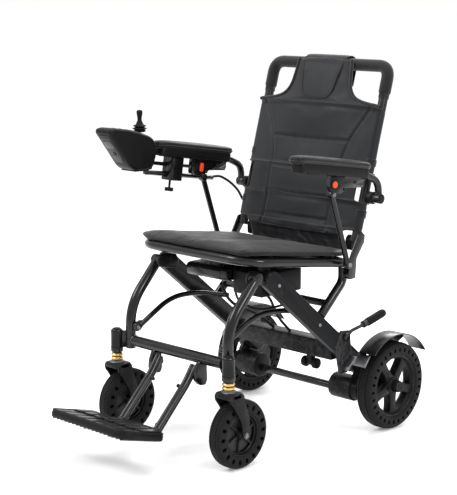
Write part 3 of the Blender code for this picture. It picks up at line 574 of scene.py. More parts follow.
# ---- frame --------------------------------------------------------------------------------
def front_leg(side, tail):
    """Bent tube, its housing for the caster's stem, and their web, caps and weld."""
    x, knee = side * LEG_X, (0, -0.095, 0.458)
    bm = tube(bmesh.new(), bend(at(x, (-193, 236), (-193, 350), (-95, 458)), 0.085, 14), 0.0135, 32)
    lathe(bm, mm((166.4, 13), (167.2, 14.5), (192.7, 14.5), (193.5, 13), x=side), knee, segments=40)
    pivot, foot = Vector((side * CASTER_X, STEM_Y)), Vector((x, LEG_Y))
    stem = (*pivot, 0)
    toward = (foot - pivot).normalized()
    across = Vector((-toward.y, toward.x)) * 0.006
    root, tip = pivot + toward * 0.004, foot - toward * 0.003
    slab(bm, [tuple(root - across), tuple(tip - across), tuple(tip + across), tuple(root + across)],
        0.238, 0.282, "Z", 0.0015)
    lathe(bm, mm((226.2, 13.5), (226.2, 15.2), (227.5, 16.3), (240, 16.3), (241, 15.8), (280, 15.8),
        (284, 15), (286.2, 13.5), (286.8, 11)), stem, "Z", 40)
    piece("front_leg_skin" + tail, bm, PAINT, "front_frame", ("front_leg" + tail,), angle=30)
    bm = lathe(bmesh.new(), mm((286.6, 11.2), (288.2, 10.8), (289.2, 9.2), (289.4, 2)), stem, "Z",
        32)
    for low, high in mm((238.5, 240), (281.5, 282.6)):
        lathe(bm, [(low, 0.016), (low, 0.0168), (high, 0.0168), (high, 0.016)], stem, "Z", 40,
            ring=True)
    piece("caster_housing_cap" + tail, bm, MOULDED, "front_frame")
    bm = lathe(bmesh.new(), mm((193.8, 11.8), (195.2, 11.8), (196.2, 8), (196.2, 2), x=side), knee,
        segments=32)
    bead_ring(bm, Vector((x, LEG_Y, 0.262)), 0.0135, 0.0016)
    piece("front_leg_trim" + tail, bm, PAINT, "front_frame")


def bead_ring(bm, centre, radius, size, axis="Z"):
    """Rippled ring of weld metal round a tube."""
    path = []
    for k in range(40):
        a = 2 * math.pi * k / 40
        r, wave = radius + 0.0006 * math.sin(9 * a), 0.0006 * math.sin(13 * a)
        u, v = r * math.cos(a), r * math.sin(a)
        path.append(centre + Vector((u, v, wave) if axis == "Z" else (wave, u, v)))
    tube(bm, path, size, 8, loop=True)


def front_cross():
    """Bar between the front legs, its weld beads and the footrest's two hanging plates."""
    bm = tube(bmesh.new(), [(x, LEG_Y, 0.257) for x in (-0.1664, -0.08, 0.08, 0.1664)], 0.0145, 32)
    for side, x0, _ in HANGERS:
        plate = mm((-206, 252), (-182, 250), (-180, 200), (-186, 188), (-205, 190), (-219, 204),
            (-217, 226))
        slab(bm, smooth_outline(plate, 0.005), *sorted((x0 + side * 0.0125, x0 + side * 0.025)),
            bevel=0.0016)
        bead_ring(bm, Vector((side * 0.1652, LEG_Y, 0.257)), 0.0145, 0.0016, "X")
    piece("front_crossbar_skin", bm, PAINT, "front_frame", ("front_crossbar",), angle=30)
    bm = bmesh.new()
    for side, x0, _ in HANGERS:
        for y, z in mm((-205, 226), (-193, 196)):
            face = x0 + side * 0.0155
            lathe(bm, mm((0, 5.2), (2.8, 5), (3.4, 4), (2.6, 2.8), (2.6, 0.6), x=side),
                (face, y, z), segments=24)
    piece("footrest_hanger_bolts", bm, STEEL, "front_frame", angle=28)


def brace(side, tail):
    """Curved rod behind the leg, with its lug and bolt heads."""
    x = side * 0.1555
    path = bend(at(x, (-182, 298), (-75, 357), (20, 357), (141.5, 330)), 0.075, 12)
    bm = tube(bmesh.new(), path, 0.007, 20)
    slab(bm, smooth_outline(mm((-199, 284), (-183, 284), (-166, 300), (-172, 312), (-199, 305)),
        0.007), *span(side, 0.1535, 0.166), bevel=0.0014)
    piece("brace_skin" + tail, bm, PAINT, "brace_link" + tail, ("brace_link" + tail,), angle=30)
    bm = bmesh.new()
    for face, way in ((side * 0.1535, -side), (side * 0.166, side)):
        lathe(bm, mm((0, 6.2), (1.6, 6), (2.4, 4.4), (1.6, 3), (1.6, 0.6), x=way),
            (face, -0.189, 0.294), segments=24)
    piece("brace_bolt" + tail, bm, STEEL, "brace_link" + tail, angle=28)


def main_beam(side, tail):
    """The sloping beam keeps its shape; screws and an edge line sit on it."""
    refine("main_beam" + tail, BEAM, "chassis", 0.0022, 30)
    top, foot = Vector((-0.055, 0.4505)), Vector((0.292, 0.167))
    along = (foot - top).normalized()
    across = Vector((-along.y, along.x))
    if across.y < 0:
        across = -across
    face = side * 0.204
    bm = bmesh.new()
    for share in (0.055, 0.5, 0.9):
        spot = top + along * (foot - top).length * share
        lathe(bm, mm((0, 5), (1.2, 4.8), (1.7, 4), (0.8, 3), (0.8, 0.5), x=side),
            (face, spot.x, spot.y), segments=24)
    piece("beam_screws" + tail, bm, STEEL, "chassis", angle=28)
    bm = bmesh.new()
    line = []
    for share in (0.06, 0.97):
        spot = top + along * (foot - top).length * share + across * 0.0205
        line.append((face + side * 0.0002, spot.x, spot.y))
    tube(bm, [Vector(line[0]).lerp(Vector(line[1]), k / 8) for k in range(9)], 0.0008, 10,
        cap=0.0002)
    piece("beam_edge_line" + tail, bm, SMOOTH, "chassis", slot="beam_paint")


def fender(side, tail):
    """Mudguard close over the tyre, with an inner skirt and its stay."""
    centre = REAR_AXLE
    bm = bmesh.new()
    band = list(arc(centre, 0.1428, 34, 134, 40)) + list(arc(centre, 0.1402, 134, 34, 40))
    slab(bm, band, *span(side, 0.234, 0.288), bevel=0.0008)
    skirt = list(arc(centre, 0.141, 52, 134, 30)) + list(arc(centre, 0.113, 134, 60, 26))
    slab(bm, skirt, *span(side, 0.2318, 0.2346), bevel=0.0006)
    slab(bm, mm((322, 126), (358, 126), (350, 196), (356, 250), (324, 250), (330, 196)),
        *span(side, 0.2312, 0.2348), bevel=0.0006)
    piece("fender_skin" + tail, bm, GLOSSY, "chassis", ("fender" + tail,), angle=50)
    bm = bmesh.new()
    path = bend([(side * 0.2262, 0.276, 0.2916), (side * 0.229, 0.312, 0.3018),
        (side * 0.2313, 0.345, 0.3111)], 0.02, 4)
    tube(bm, path[:2], 0.0104, 24, cap=0.004)
    tube(bm, path, 0.0112, 24, cap=0.006)
    piece("brake_grip" + tail, bm, RUBBER, "brake_lever" + tail)


# CAD shapes that stay as they are: name, material, body, bevel in millimetres, crease angle
PAIRED = (("seat_post", PAINT, "chassis", 0.7, 35), ("drive_motor", CAST, "chassis", 1.2, 32),
    ("brake_lever", PAINT, "brake_lever", 0.6, 40), ("brake_shoe", STEEL, "brake_shoe", 1, 35),
    ("armrest_knuckle", CAST, "armrest_knuckle", 1.2, 35), ("arm_strut", PAINT, "arm_strut", 0.7,
    40), ("arm_rail", PAINT, "armrest", 0.7, 40))
SINGLE = (("rear_cross_member", BEAM, "chassis", 1, 35), ("post_cross_tube", PAINT, "chassis", 0.5,
    50), ("axle_tube", PAINT, "chassis", 0.5, 50),
    ("transport_rollers", RUBBER, "transport_rollers", 0.6, 40),
    ("motor_controller", MOULDED, "chassis", 0.8, 40), ("seat_board", MOULDED, "chassis", 0.8, 40),
    ("pod_rods", PAINT, "pod", 0.8, 40), ("thumb_screw", MOULDED, "thumb_screw", 0.9, 40),
    ("joystick_gimbal", STEEL, "joystick_gimbal", 0.4, 40), ("power_key", RUBBER, "power_key", 0.4,
    40), ("horn_key", RUBBER, "horn_key", 0.4, 40))


def plain_parts():
    """CAD shapes with broken edges, and the battery case, hinge blocks and loom."""
    for name, material, body, bevel, angle in PAIRED:
        for side, tail in SIDES:
            refine(name + tail, material, body if body == "chassis" else body + tail, bevel / 1000,
                angle, "frame_paint" if name == "armrest_knuckle" else None)
    for name, material, body, bevel, angle in SINGLE:
        refine(name, material, body, bevel / 1000, angle)
    bm = bmesh.new()
    case = smooth_outline(oblong(-52, 172, 421, 456), 0.015)
    slab(bm, case, -0.12, 0.03, bevel=0.006)
    slab(bm, smooth_outline(oblong(-54, -40, 428.5, 448.5), 0.004), -0.1, 0.01, bevel=0.0015)
    piece("battery_case", bm, GLOSSY, "chassis", ("battery_pack",), angle=50)
    for side, tail in SIDES:
        bm = bmesh.new()
        knuckle = mm((253, 486), (270, 482), (292, 502), (286, 520), (264, 526), (253, 516))
        slab(bm, smooth_outline(knuckle, 0.007), *span(side, 0.17, 0.1905), bevel=0.002)
        piece("hinge_block" + tail, bm, MOULDED, "chassis")
    bm = tube(bmesh.new(), bend(mm((-20, 30, 392), (-26, 50, 345), (10, 100, 318), (60, 150, 338),
        (70, 165, 352)), 0.04, 8), 0.0034, 12)
    tube(bm, bend(mm((-60, 20, 396), (-75, 70, 330), (-60, 160, 290), (-50, 216, 245)), 0.05, 8),
        0.0042, 12)
    tube(bm, bend(mm((60, 40, 394), (45, 100, 360), (20, 150, 300), (10, 216, 244)), 0.05, 8),
        0.0038, 12)
    piece("loom", bm, RUBBER, "chassis")


# ---- footrest -----------------------------------------------------------------------------
def footrest():
    """Two hanging arms, each a pair of tubes, with their end barrels and pins."""
    for side, x, tail in HANGERS:
        path = bend(at(x, (-201, 238), (-230, 196), (-256, 170), (-330, 94)), 0.05, 8)
        bm = bmesh.new()
        for shift in (-0.0066, 0.0066):
            tube(bm, [p + Vector((shift, 0, 0)) for p in path], 0.0068, 20)
        tube(bm, [p + Vector((0, 0.0016, -0.002)) for p in path], 0.004, 12)
        for y, z, radius, half in mm((-205, 226, 9.5, 10.5), (-330, 94, 9, 10)):
            lathe(bm, [(x - half, radius - 0.0008), (x - half + 0.0008, radius),
                (x + half - 0.0008, radius), (x + half, radius - 0.0008)], (0, y, z), segments=32)
        piece("footrest_arm_skin" + tail, bm, PAINT, "footrest_arms", ("footrest_arm" + tail,),
            angle=30)
        bm = bmesh.new()
        for y, z, long in mm((-240, 188, 8.5), (-318, 106, 2)):
            a, b = x - side * 0.01, x - side * (0.012 + long)
            neck = b + side * 0.003
            lathe(bm, [(a, 0.003), (neck, 0.0034), (neck, 0.005), (b, 0.0048), (b, 0.001)],
                (0, y, z), segments=20)
        piece("footrest_pins" + tail, bm, CAST, "footrest_arms", slot="steel")


def footplate():
    """Moulded tray with raised tread pads between dark gaps, on its hinge rod."""
    bm = bmesh.new()
    edge = smooth_outline(mm((-168, -11.5), (-168, -140), (-156, -150), (80, -150), (106, -139),
        (115, -114), (115, -11.5)), 0.014)
    slab(bm, edge, -0.018, 0.0005, "Z", 0.0055)
    lip = smooth_outline(mm((-165.5, -14), (-165.5, -139), (-155, -147.5), (79, -147.5),
        (104.2, -137), (112.5, -113), (112.5, -14)), 0.013)
    tube(bm, [(x, y, 0.0012) for x, y in lip], 0.0024, 8, loop=True)
    for k in range(-11, 7):
        x = k * 0.015 + 0.006
        slab(bm, rectangle(x - 0.0012, x + 0.0012, -0.14, -0.02), -0.021, -0.017, "Z")
    tube(bm, mm((-49, 0, 0), (0, 0, 0), (59, 0, 0)), 0.0065, 24)
    slab(bm, oblong(-20, 1, -6.5, 5), -0.03, 0.04, "X", 0.0012)
    piece("footplate_tray", bm, MOULDED, "footplate", ("footplate",), angle=30, place=PLATE)
    bm = bmesh.new()
    for k in range(7):
        low = -0.159 + k * 0.0385
        high = low + 0.0295
        pad = [(low, -0.017), (low, -0.078), (high, -0.078), (high, -0.017)]
        slab(bm, smooth_outline(pad, 0.005), -0.0008, 0.0056, "Z", 0.002)
        front = -0.14 if k < 6 else -0.123
        pad = [(low, -0.084), (low, front), (high, front), (high, -0.084)]
        slab(bm, smooth_outline(pad, 0.004), -0.0008, 0.0024, "Z", 0.0012)
    piece("footplate_pads", bm, SMOOTH, "footplate", angle=40, place=PLATE)
    bm = bmesh.new()
    for x, y in mm((-130, -110), (-40, -135), (50, -130), (78, -40)):
        lathe(bm, mm((-22.5, 1), (-22.5, 4), (-20.5, 4.8), (-17, 4.8)), (x, y, 0), "Z", 20)
    piece("footplate_screws", bm, STEEL, "footplate", place=PLATE)


# ---- soft goods ---------------------------------------------------------------------------
def inflate(made, pressure, cap, held):
    """Blow the piece up with cloth pressure. Points for which held is true stay put."""
    frames = 20
    rest = [v.co.copy() for v in made.data.vertices]
    group = made.vertex_groups.new(name="held")
    group.add([k for k, p in enumerate(rest) if held(p)], 1.0, "REPLACE")
    cloth = made.modifiers.new("cloth", "CLOTH")
    cloth.settings.vertex_group_mass = "held"
    cloth.settings.use_pressure = True
    cloth.settings.uniform_pressure_force = pressure
    cloth.settings.effector_weights.gravity = 0
    cloth.settings.quality = 6
    cloth.settings.tension_stiffness = 12
    cloth.settings.compression_stiffness = 8
    cloth.settings.bending_stiffness = 0.4
    cloth.collision_settings.use_collision = False
    cloth.point_cache.frame_start = 1
    cloth.point_cache.frame_end = frames
    for number in range(1, frames + 1):
        bpy.context.scene.frame_set(number)
    graph = bpy.context.evaluated_depsgraph_get()
    blown = made.evaluated_get(graph).to_mesh()
    moved = [v.co.copy() for v in blown.vertices]
    made.modifiers.clear()
    made.vertex_groups.clear()
    for vert, old, new in zip(made.data.vertices, rest, moved):
        step = new - old
        if step.length > cap:
            step *= cap / step.length
        vert.co = old + step
    bpy.context.scene.frame_set(1)
    return made


def subdivide(made):
    """Subdivision surface, put into the mesh."""
    step = made.modifiers.new("smooth", "SUBSURF")
    step.levels = step.render_levels = 1
    mesh = bake(made)
    mesh.polygons.foreach_set("use_smooth", [True] * len(mesh.polygons))
    return made


def seam_distance(p, seams):
    """Distance from a flat point to the nearest seam line."""
    best = 9.0
    for seam in seams:
        for a, b in zip(seam, seam[1:]):
            ab = (b[0] - a[0], b[1] - a[1])
            length = math.hypot(*ab)
            t = ((p[0] - a[0]) * ab[0] + (p[1] - a[1]) * ab[1]) / (length * length)
            t = max(0.0, min(1.0, t))
            best = min(best, math.hypot(p[0] - a[0] - ab[0] * t, p[1] - a[1] - ab[1] * t))
    return best


def lines_2d(points):
    """Flat line with its corners rounded."""
    return [(p.x, p.y) for p in bend([(a, b, 0) for a, b in points], 0.03)]


def loops(rings):
    """Closed skin over rings of points."""
    bm = bmesh.new()
    made = [[bm.verts.new(p) for p in ring] for ring in rings]
    skin(bm, made)
    bm.faces.new(made[0][::-1])
    bm.faces.new(made[-1])
    return bm


def evenly(count):
    """Even steps from -1 to 1."""
    return [-1 + 2 * k / (count - 1) for k in range(count)]


def mix(table, z):
    """Value at z between the steps of a short (position, value) table."""
    if z <= table[0][0]:
        return table[0][1]
    for (a, u), (b, v) in zip(table, table[1:]):
        if z <= b:
            t = (z - a) / (b - a)
            return u + (v - u) * t
    return table[-1][1]


BACK_SIDE = lines_2d(mm((190, 345), (163, 298), (136, 248), (123, 195), (114.5, 130), (114.5, -4)))
BACK_SEAMS = [BACK_SIDE, [(-x, z) for x, z in BACK_SIDE]]
for height, reach in mm((247, 135.5), (164, 118), (93, 114.5), (31, 114.5)):
    BACK_SEAMS.append([(-reach, height), (0.0, height - 0.002), (reach, height)])


def back_cover():
    """Sewn sling: padded panels between stitched channels, wrapped round the two tubes."""
    width = mm((-4, 168), (12.5, 168), (16, 205), (90, 205), (94, 188), (166, 188), (170, 205),
        (338, 205), (344.5, 203), (347.5, 183), (353, 150), (362, 127), (376, 112), (395, 103),
        (425, 98.5), (440, 97), (470, 93))
    wrap = [(-0.004, 0.16), (0.0125, 0.16), (0.016, 1.0), (0.09, 1.0), (0.094, 0.16), (0.166, 0.16),
        (0.17, 1.0), (0.338, 1.0), (0.3455, 0.45), (0.349, 0.16), (0.43, 0.16), (0.44, 0.1),
        (0.47, 0.1)]
    levels = [k * 0.0068 - 0.004 for k in range(50)]
    levels += [0.0132, 0.0148, 0.0905, 0.0925, 0.0945, 0.1655, 0.1675, 0.1695]
    levels += [0.3375, 0.3415, 0.3445, 0.3465, 0.3485, 0.352, 0.356, 0.361, 0.367, 0.374, 0.382,
        0.391, 0.401, 0.412, 0.424, 0.437, 0.45, 0.46, 0.468]
    levels = sorted(set(round(z, 5) for z in levels if z < 0.336 or z in levels[50:]))
    rings = []
    for z in levels:
        half, full = mix(width, z), mix(wrap, z)
        turn = 0.0145 * full
        front = -0.0165 if full > 0.9 else -0.0225
        centre_y, back_y = front + turn, front + turn + turn
        ring = [(u * half, front - 0.0085 * (1 - u ** 4)) for u in evenly(57)]
        ring += arc((half, centre_y), turn, -67.5, 90, 7)
        for k in range(1, 24):
            u = 1 - 2 * k / 24
            ease = min(1.0, (1 - abs(u)) * 9)
            ring.append((u * (half - 0.004), back_y + (-0.0185 - back_y) * ease))
        ring += arc((-half, centre_y), turn, 90, 247.5, 7)
        rings.append([(x, y, z) for x, y in ring])
    made = piece("back_cover", loops(rings), LEATHER, None, ("back_upholstery",), angle=180)

    def held(p):
        if p.y > -0.0185 or p.z < 0.004 or p.z > 0.405:
            return True
        if abs(p.x) > mix(width, p.z) - 0.01:
            return True
        return seam_distance((p.x, p.z), BACK_SEAMS) < 0.0055

    inflate(made, 5.0, 0.0085, held)
    subdivide(made)
    for vert in made.data.vertices:
        p = vert.co
        if p.y < -0.012 and p.z < 0.352:
            d = seam_distance((p.x, p.z), BACK_SEAMS)
            groove = math.exp(-(d / 0.003) ** 2)
            lips = math.exp(-((d - 0.0075) / 0.004) ** 2)
            p.y += 0.003 * groove - 0.0006 * lips
            pull = noise.noise(Vector((p.x * 60, p.z * 60, 3.1)))
            p.y -= 0.0007 * pull * math.exp(-(d / 0.012) ** 2)
        sag = max(0.0, 1 - p.z / 0.055) if p.z < 0.055 else 0.0
        if p.y < -0.01:
            p.y -= sag * 0.0028 * noise.noise(Vector((p.x * 26, p.z * 70, 0.4)))
        p.y -= 0.0009 * noise.noise(Vector((p.x * 17, p.z * 17, 7.0)))
    made.data.transform(BACK)
    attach(made, "backrest")
    rings = []
    for z in [0.03 - k * 0.0036 for k in range(20)]:
        ring = []
        for u in evenly(61):
            crease = 0.0042 * noise.noise(Vector((u * 4, z * 75, 2.2)))
            crease += 0.0022 * noise.noise(Vector((u * 11, z * 110, 5.5)))
            tuck = 0.55 * max(0.0, 0.012 - z)
            ring.append((u * 0.168, -0.0205 + tuck + crease * (1 - u ** 6), z))
        ring += [(x, y + 0.0055, z) for x, y, z in reversed(ring)]
        rings.append(ring)
    piece("back_cover_foot", loops(rings), LEATHER, "backrest", angle=180, place=BACK)
    back_trim()
    return made


def back_trim():
    """Binding tape on the neck and shoulders, and the hinge plates' straps."""
    bm = bmesh.new()
    for s in (1, -1):
        edge = mm((213, 344), (204, 347), (183, 349), (150, 354.5), (127.5, 363), (112.5, 377),
            (103.5, 396), (99, 424), (96, 448), (93, 466))
        path = bend([(s * x, -0.0225, z) for x, z in edge], 0.02, 4)
        tube(bm, path, 0.0046, 12)
    for s in (1, -1):
        for z in (0.0905, 0.1695):
            tube(bm, bend([(s * 0.186, -0.022, z), (s * 0.205, -0.0185, z), (s * 0.22, -0.01, z),
                (s * 0.2215, 0.002, z), (s * 0.216, 0.012, z)], 0.01, 4), 0.0016, 8)
    piece("back_binding", bm, BINDING, "backrest", place=BACK)
    bm = bmesh.new()
    for s in (1, -1):
        for low, high in mm((52, 72), (190, 208)):
            rings = []
            for z in (low, low + 0.001, (low + high) / 2, high - 0.001, high):
                grow = 0.0 if z in (low, high) else 0.0012
                ring = []
                for k in range(28):
                    c, t = spin(k, 28)
                    ring.append((s * TUBE_X + (0.015 + grow) * c, (0.015 + grow) * t - 0.0015, z))
                rings.append(ring)
            join(bm, loops(rings))
    piece("back_straps", bm, BINDING, "backrest", place=BACK)


def headrest():
    """Flap over the top bar: rounded padded tongue in front, plain tail behind."""
    route = bend(mm((22.5, 400), (22.5, 456), (18.5, 474), (0, 481.5), (-21, 474), (-31.5, 440),
        (-33.5, 354.5)), 0.022, 6)
    route = [Vector((0, p.x, p.y)) for p in route]
    fine = [route[0]]
    for a, b in zip(route, route[1:]):
        steps = max(1, int((b - a).length / 0.0045))
        fine += [a.lerp(b, k / steps) for k in range(1, steps + 1)]
    front = mm((354.5, 18), (356, 32), (360, 43), (368, 50), (380, 54.5), (400, 58.5), (430, 64.5),
        (455, 70), (470, 74))
    rings = []
    for k, spot in enumerate(fine):
        before, after = fine[max(0, k - 1)], fine[min(len(fine) - 1, k + 1)]
        way = (after - before).normalized()
        out = Vector((0, way.z, -way.y))
        half = mix(front, spot.z) if spot.y < -0.019 else 0.076
        ring = []
        for face in (1, -1):
            for u in evenly(33):
                edge = out * (0.005 * (1 - 0.55 * u ** 8)) * 0.5 * face
                ring.append(spot + Vector((face * u * half, 0, 0)) + edge)
        rings.append(ring)
    made = piece("headrest_cover", loops(rings), LEATHER, None, ("headrest_flap",), angle=180)

    def held(p):
        inner = p.y > -0.024 and p.z < 0.455
        half = mix(front, p.z) if p.y < -0.019 else 0.076
        return inner or abs(p.x) > half - 0.007 or p.z < 0.36 or (p.y > 0 and p.z < 0.41)

    inflate(made, 4.0, 0.006, held)
    subdivide(made)
    made.data.transform(BACK)
    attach(made, "backrest")
    bm = bmesh.new()
    edge = mm((74, 470), (70, 455), (64.5, 430), (58.5, 400), (54.5, 380), (50, 368), (43, 360),
        (32, 356), (18, 354.5), (0, 354.5))
    edge += [(-x, z) for x, z in reversed(edge[:-1])]
    path = []
    for x, z in edge:
        y = mix(mm((354.5, -34.5), (440, -32), (470, -22.5)), z)
        path.append((x, y, z))
    tube(bm, bend(path, 0.02, 4), 0.0022, 10)
    piece("headrest_piping", bm, DARK_LEATHER, "backrest", place=BACK)


def top_bar():
    """Push bar in a foam sleeve with end collars, on the two tubes."""
    half, start, top = TUBE_X, 0.3843, 0.4577
    path = bend([(-half, 0, start), (-half, 0, top), (half, 0, top), (half, 0, start)], 0.068, 16)
    bm = tube(bmesh.new(), path, 0.0163, 32, cap=0.0025)
    piece("push_bar_foam", bm, FOAM, "backrest", ("push_bar",), angle=40, place=BACK)
    for s, tail in SIDES:
        bm = tube(bmesh.new(), [(s * half, 0, z) for z in (-0.012, 0.1, 0.2, 0.3, 0.384)], 0.0125,
            32)
        lathe(bm, mm((370, 13), (370.6, 14.2), (382, 14.2), (383.6, 15), (384.2, 13)),
            (s * half, 0, 0), "Z", 32)
        piece("back_tube_skin" + tail, bm, PAINT, "backrest", ("back_tube" + tail,), angle=35,
            place=BACK)


def seat():
    """Tube ring, cushion with a piped edge and a faint centre seam."""
    ring = []
    for sx, sy, start in ((1, -1, 270), (1, 1, 0), (-1, 1, 90), (-1, -1, 180)):
        edge = -0.203 if sy < 0 else 0.157
        radius = 0.07 if sy < 0 else 0.03
        centre = (sx * (TUBE_X - radius), edge - sy * radius)
        ring += [(px, py, 0) for px, py in arc(centre, radius, start, start + 90, 14)]
    bm = tube(bmesh.new(), ring, 0.0125, 28, loop=True)
    piece("seat_tube_skin", bm, PAINT, "chassis", ("seat_frame_tube",), angle=60, place=SEAT)
    low_y, high_y, half = -0.2105, 0.16, 0.215
    front, rear = 0.058, 0.02  # radii of the corners

    def reach(y):
        for radius, depth in ((front, low_y + front - y), (rear, y - high_y + rear)):
            if depth > 0:
                t = depth / radius
                return half - radius + radius * math.sqrt(max(0.0, 1 - t * t))
        return half

    rows = [low_y + front * (1 - math.cos(math.radians(k * 9))) for k in range(10)]
    rows += [low_y + front + k * (high_y - low_y - 0.078) / 30 for k in range(31)]
    rows += [high_y - rear + rear * math.sin(math.radians(k * 18)) for k in range(1, 6)]
    rings = []
    for y in rows:
        w = reach(y)
        ring = []
        for face, level, rise in ((1, 0.027, 0.0065), (-1, 0.0262, -0.011)):
            for u in evenly(49):
                ends = min(1.0, (1 - abs(u)) * 12, (y - low_y) / 0.012, (high_y - y) / 0.012)
                ring.append((face * u * w, y, level + rise * math.sqrt(max(0.0, ends))))
        rings.append(ring)
    made = piece("seat_cover", loops(rings), DARK_LEATHER, None, ("seat_cushion",), angle=180)

    def held(p):
        rim = reach(p.y) - abs(p.x) < 0.006 or p.y < low_y + 0.006 or p.y > high_y - 0.006
        return rim or p.z < 0.024 or abs(p.x) < 0.004

    inflate(made, 4.0, 0.0085, held)
    subdivide(made)
    for vert in made.data.vertices:
        p = vert.co
        if p.z > 0.027:
            p.z -= 0.0016 * math.exp(-(p.x / 0.0028) ** 2)
            p.z += 0.0011 * noise.noise(Vector((p.x * 22, p.y * 22, 1.0)))
            p.z += 0.0006 * noise.noise(Vector((p.x * 70, p.y * 55, 5.0)))
        droop = max(0.0, (low_y + 0.05 - p.y) / 0.05)
        p.z -= 0.0075 * droop * droop
    made.data.transform(SEAT)
    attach(made, "chassis")
    edge = [(reach(y), y,
        0.0268 - 0.0075 * max(0.0, (low_y + 0.05 - y) / 0.05) ** 2) for y in rows[1:]]
    edge = edge + [(-x, y, z) for x, y, z in reversed(edge)]
    bm = tube(bmesh.new(), [Vector(p) for p in edge], 0.0022, 10, loop=True)
    piece("seat_piping", bm, DARK_LEATHER, "chassis", place=SEAT)


# ---- armrests -----------------------------------------------------------------------------
def arm_pad(side, tail):
    """Moulded pad with a blunt rounded nose, a piping line and a hard base."""
    place = arm_frame(side)
    stations = [(-0.345, 0.35), (-0.3438, 0.62), (-0.3405, 0.82), (-0.335, 0.94), (-0.327, 1.0),
        (-0.3, 1.0), (-0.26, 0.985), (-0.21, 0.97), (-0.16, 0.96), (-0.11, 0.95), (-0.084, 0.94),
        (-0.072, 0.9), (-0.065, 0.75), (-0.062, 0.45)]
    fine = []
    for (a, u), (b, v) in zip(stations, stations[1:]):
        steps = max(1, int((b - a) / 0.008))
        fine += [(a + (b - a) * k / steps, u + (v - u) * k / steps) for k in range(steps)]
    fine.append(stations[-1])
    rings = []
    for y, size in fine:
        nose = max(0.0, (-0.3 - y) / 0.045)
        ring = []
        for k in range(36):
            cx, cz = spin(k, 36)
            x = 0.0212 * size * math.copysign(abs(cx) ** 0.62, cx)
            z = 0.0108 * (0.35 + 0.65 * size) * math.copysign(abs(cz) ** 0.7, cz)
            ring.append((x, y, 0.0815 + z - 0.0035 * nose * nose))
        rings.append(ring)
    made = piece("arm_pad_cover" + tail, loops(rings), DARK_LEATHER, None, ("arm_pad" + tail,),
        slot="rubber", angle=180)
    inflate(made, 3.0, 0.0022, lambda p: p.z < 0.08)
    subdivide(made)
    made.data.transform(place)
    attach(made, "armrest" + tail)
    bm = bmesh.new()
    line = []
    for y, size in fine:
        nose = max(0.0, (-0.3 - y) / 0.045)
        line.append((0.0214 * size, y, 0.08 - 0.0035 * nose * nose))
    line += [(-x, y, z) for x, y, z in reversed(line)]
    tube(bm, [Vector(p) for p in line], 0.0011, 8, loop=True)
    piece("arm_pad_piping" + tail, bm, BINDING, "armrest" + tail, slot="rubber", place=place)
    bm = bmesh.new()
    base = smooth_outline(oblong(-19.5, 19.5, -332, -68), 0.012)
    slab(bm, base, 0.05, 0.074, "Z", 0.004)
    for y in (-0.3, -0.19, -0.085):
        lathe(bm, mm((47.8, 1), (47.8, 4), (49, 5), (51, 5)), (0.0125, y, 0), "Z", 16)
    piece("arm_pad_base" + tail, bm, MOULDED, "armrest" + tail, place=place)


def armrest_fittings(side, tail):
    """Release button and its rim, the catch's screws, the pivot's cap and the strut's bolts."""
    place = arm_frame(side)
    bm = bmesh.new()
    key = smooth_outline(oblong(-179, -166, 16, 41), 0.0062, 6)
    slab(bm, key, *span(side, -0.0122, -0.0068), bevel=0.0018)
    lathe(bm, mm((6.8, 8.6), (10, 8.6), (11.2, 7.8), (11.9, 6), (12.1, 1), x=side),
        (0, -0.19, 0.0275), segments=40)
    piece("release_button_skin" + tail, bm, ORANGE, "arm_release_button" + tail,
        ("arm_release_button" + tail,), angle=40, place=place)
    bm = bmesh.new()
    rim = smooth_outline(oblong(-181.3, -163.7, 13.7, 43.3), 0.0084, 6)
    slab(bm, rim, *span(side, -0.0086, -0.0068), bevel=0.0006)
    lathe(bm, mm((6.6, 8.4), (9, 8.8), (9, 11.8), (6.6, 12.4), x=side), (0, -0.19, 0.0275),
        segments=40, ring=True)
    plate = smooth_outline(mm((-206, 50), (-206, 10), (-175, 6), (-166, 20), (-150, 50)), 0.006, 4)
    slab(bm, plate, *span(side, 0.006, 0.0078), bevel=0.0005)
    piece("button_bezel" + tail, bm, MOULDED, "armrest" + tail, place=place)
    bm = bmesh.new()
    for y, z in mm((-110, 38), (-194, 20), (-150, 17)):
        for face, way in ((side * 0.007, side), (-side * 0.007, -side)):
            profile = mm((0, 4), (1.6, 3.8), (2.2, 2.6), (1.2, 1.6), (1.2, 0.4), x=way)
            lathe(bm, [(face + a, r) for a, r in profile], (0, y, z), segments=20)
    piece("catch_screws" + tail, bm, CAST, "armrest" + tail, slot="steel", angle=28, place=place)
    bm = bmesh.new()
    profile = mm((8.8, 12.8), (10, 12.6), (11.4, 10.5), (12, 6), (12, 1), x=side)
    lathe(bm, profile, (0, 0, 0), segments=40)
    piece("arm_pivot_cap" + tail, bm, MOULDED, "armrest" + tail, place=place)
    bm = bmesh.new()
    for y, z in mm((189, 462), (123, 652)):
        profile = mm((7.5, 6.2), (9.2, 6), (10.4, 4.2), (9.6, 2.8), (9.6, 0.6))
        lathe(bm, [(side * (0.234 + a), r) for a, r in profile], (0, y, z), segments=24)
    piece("strut_bolts" + tail, bm, STEEL, "arm_strut" + tail, angle=28)


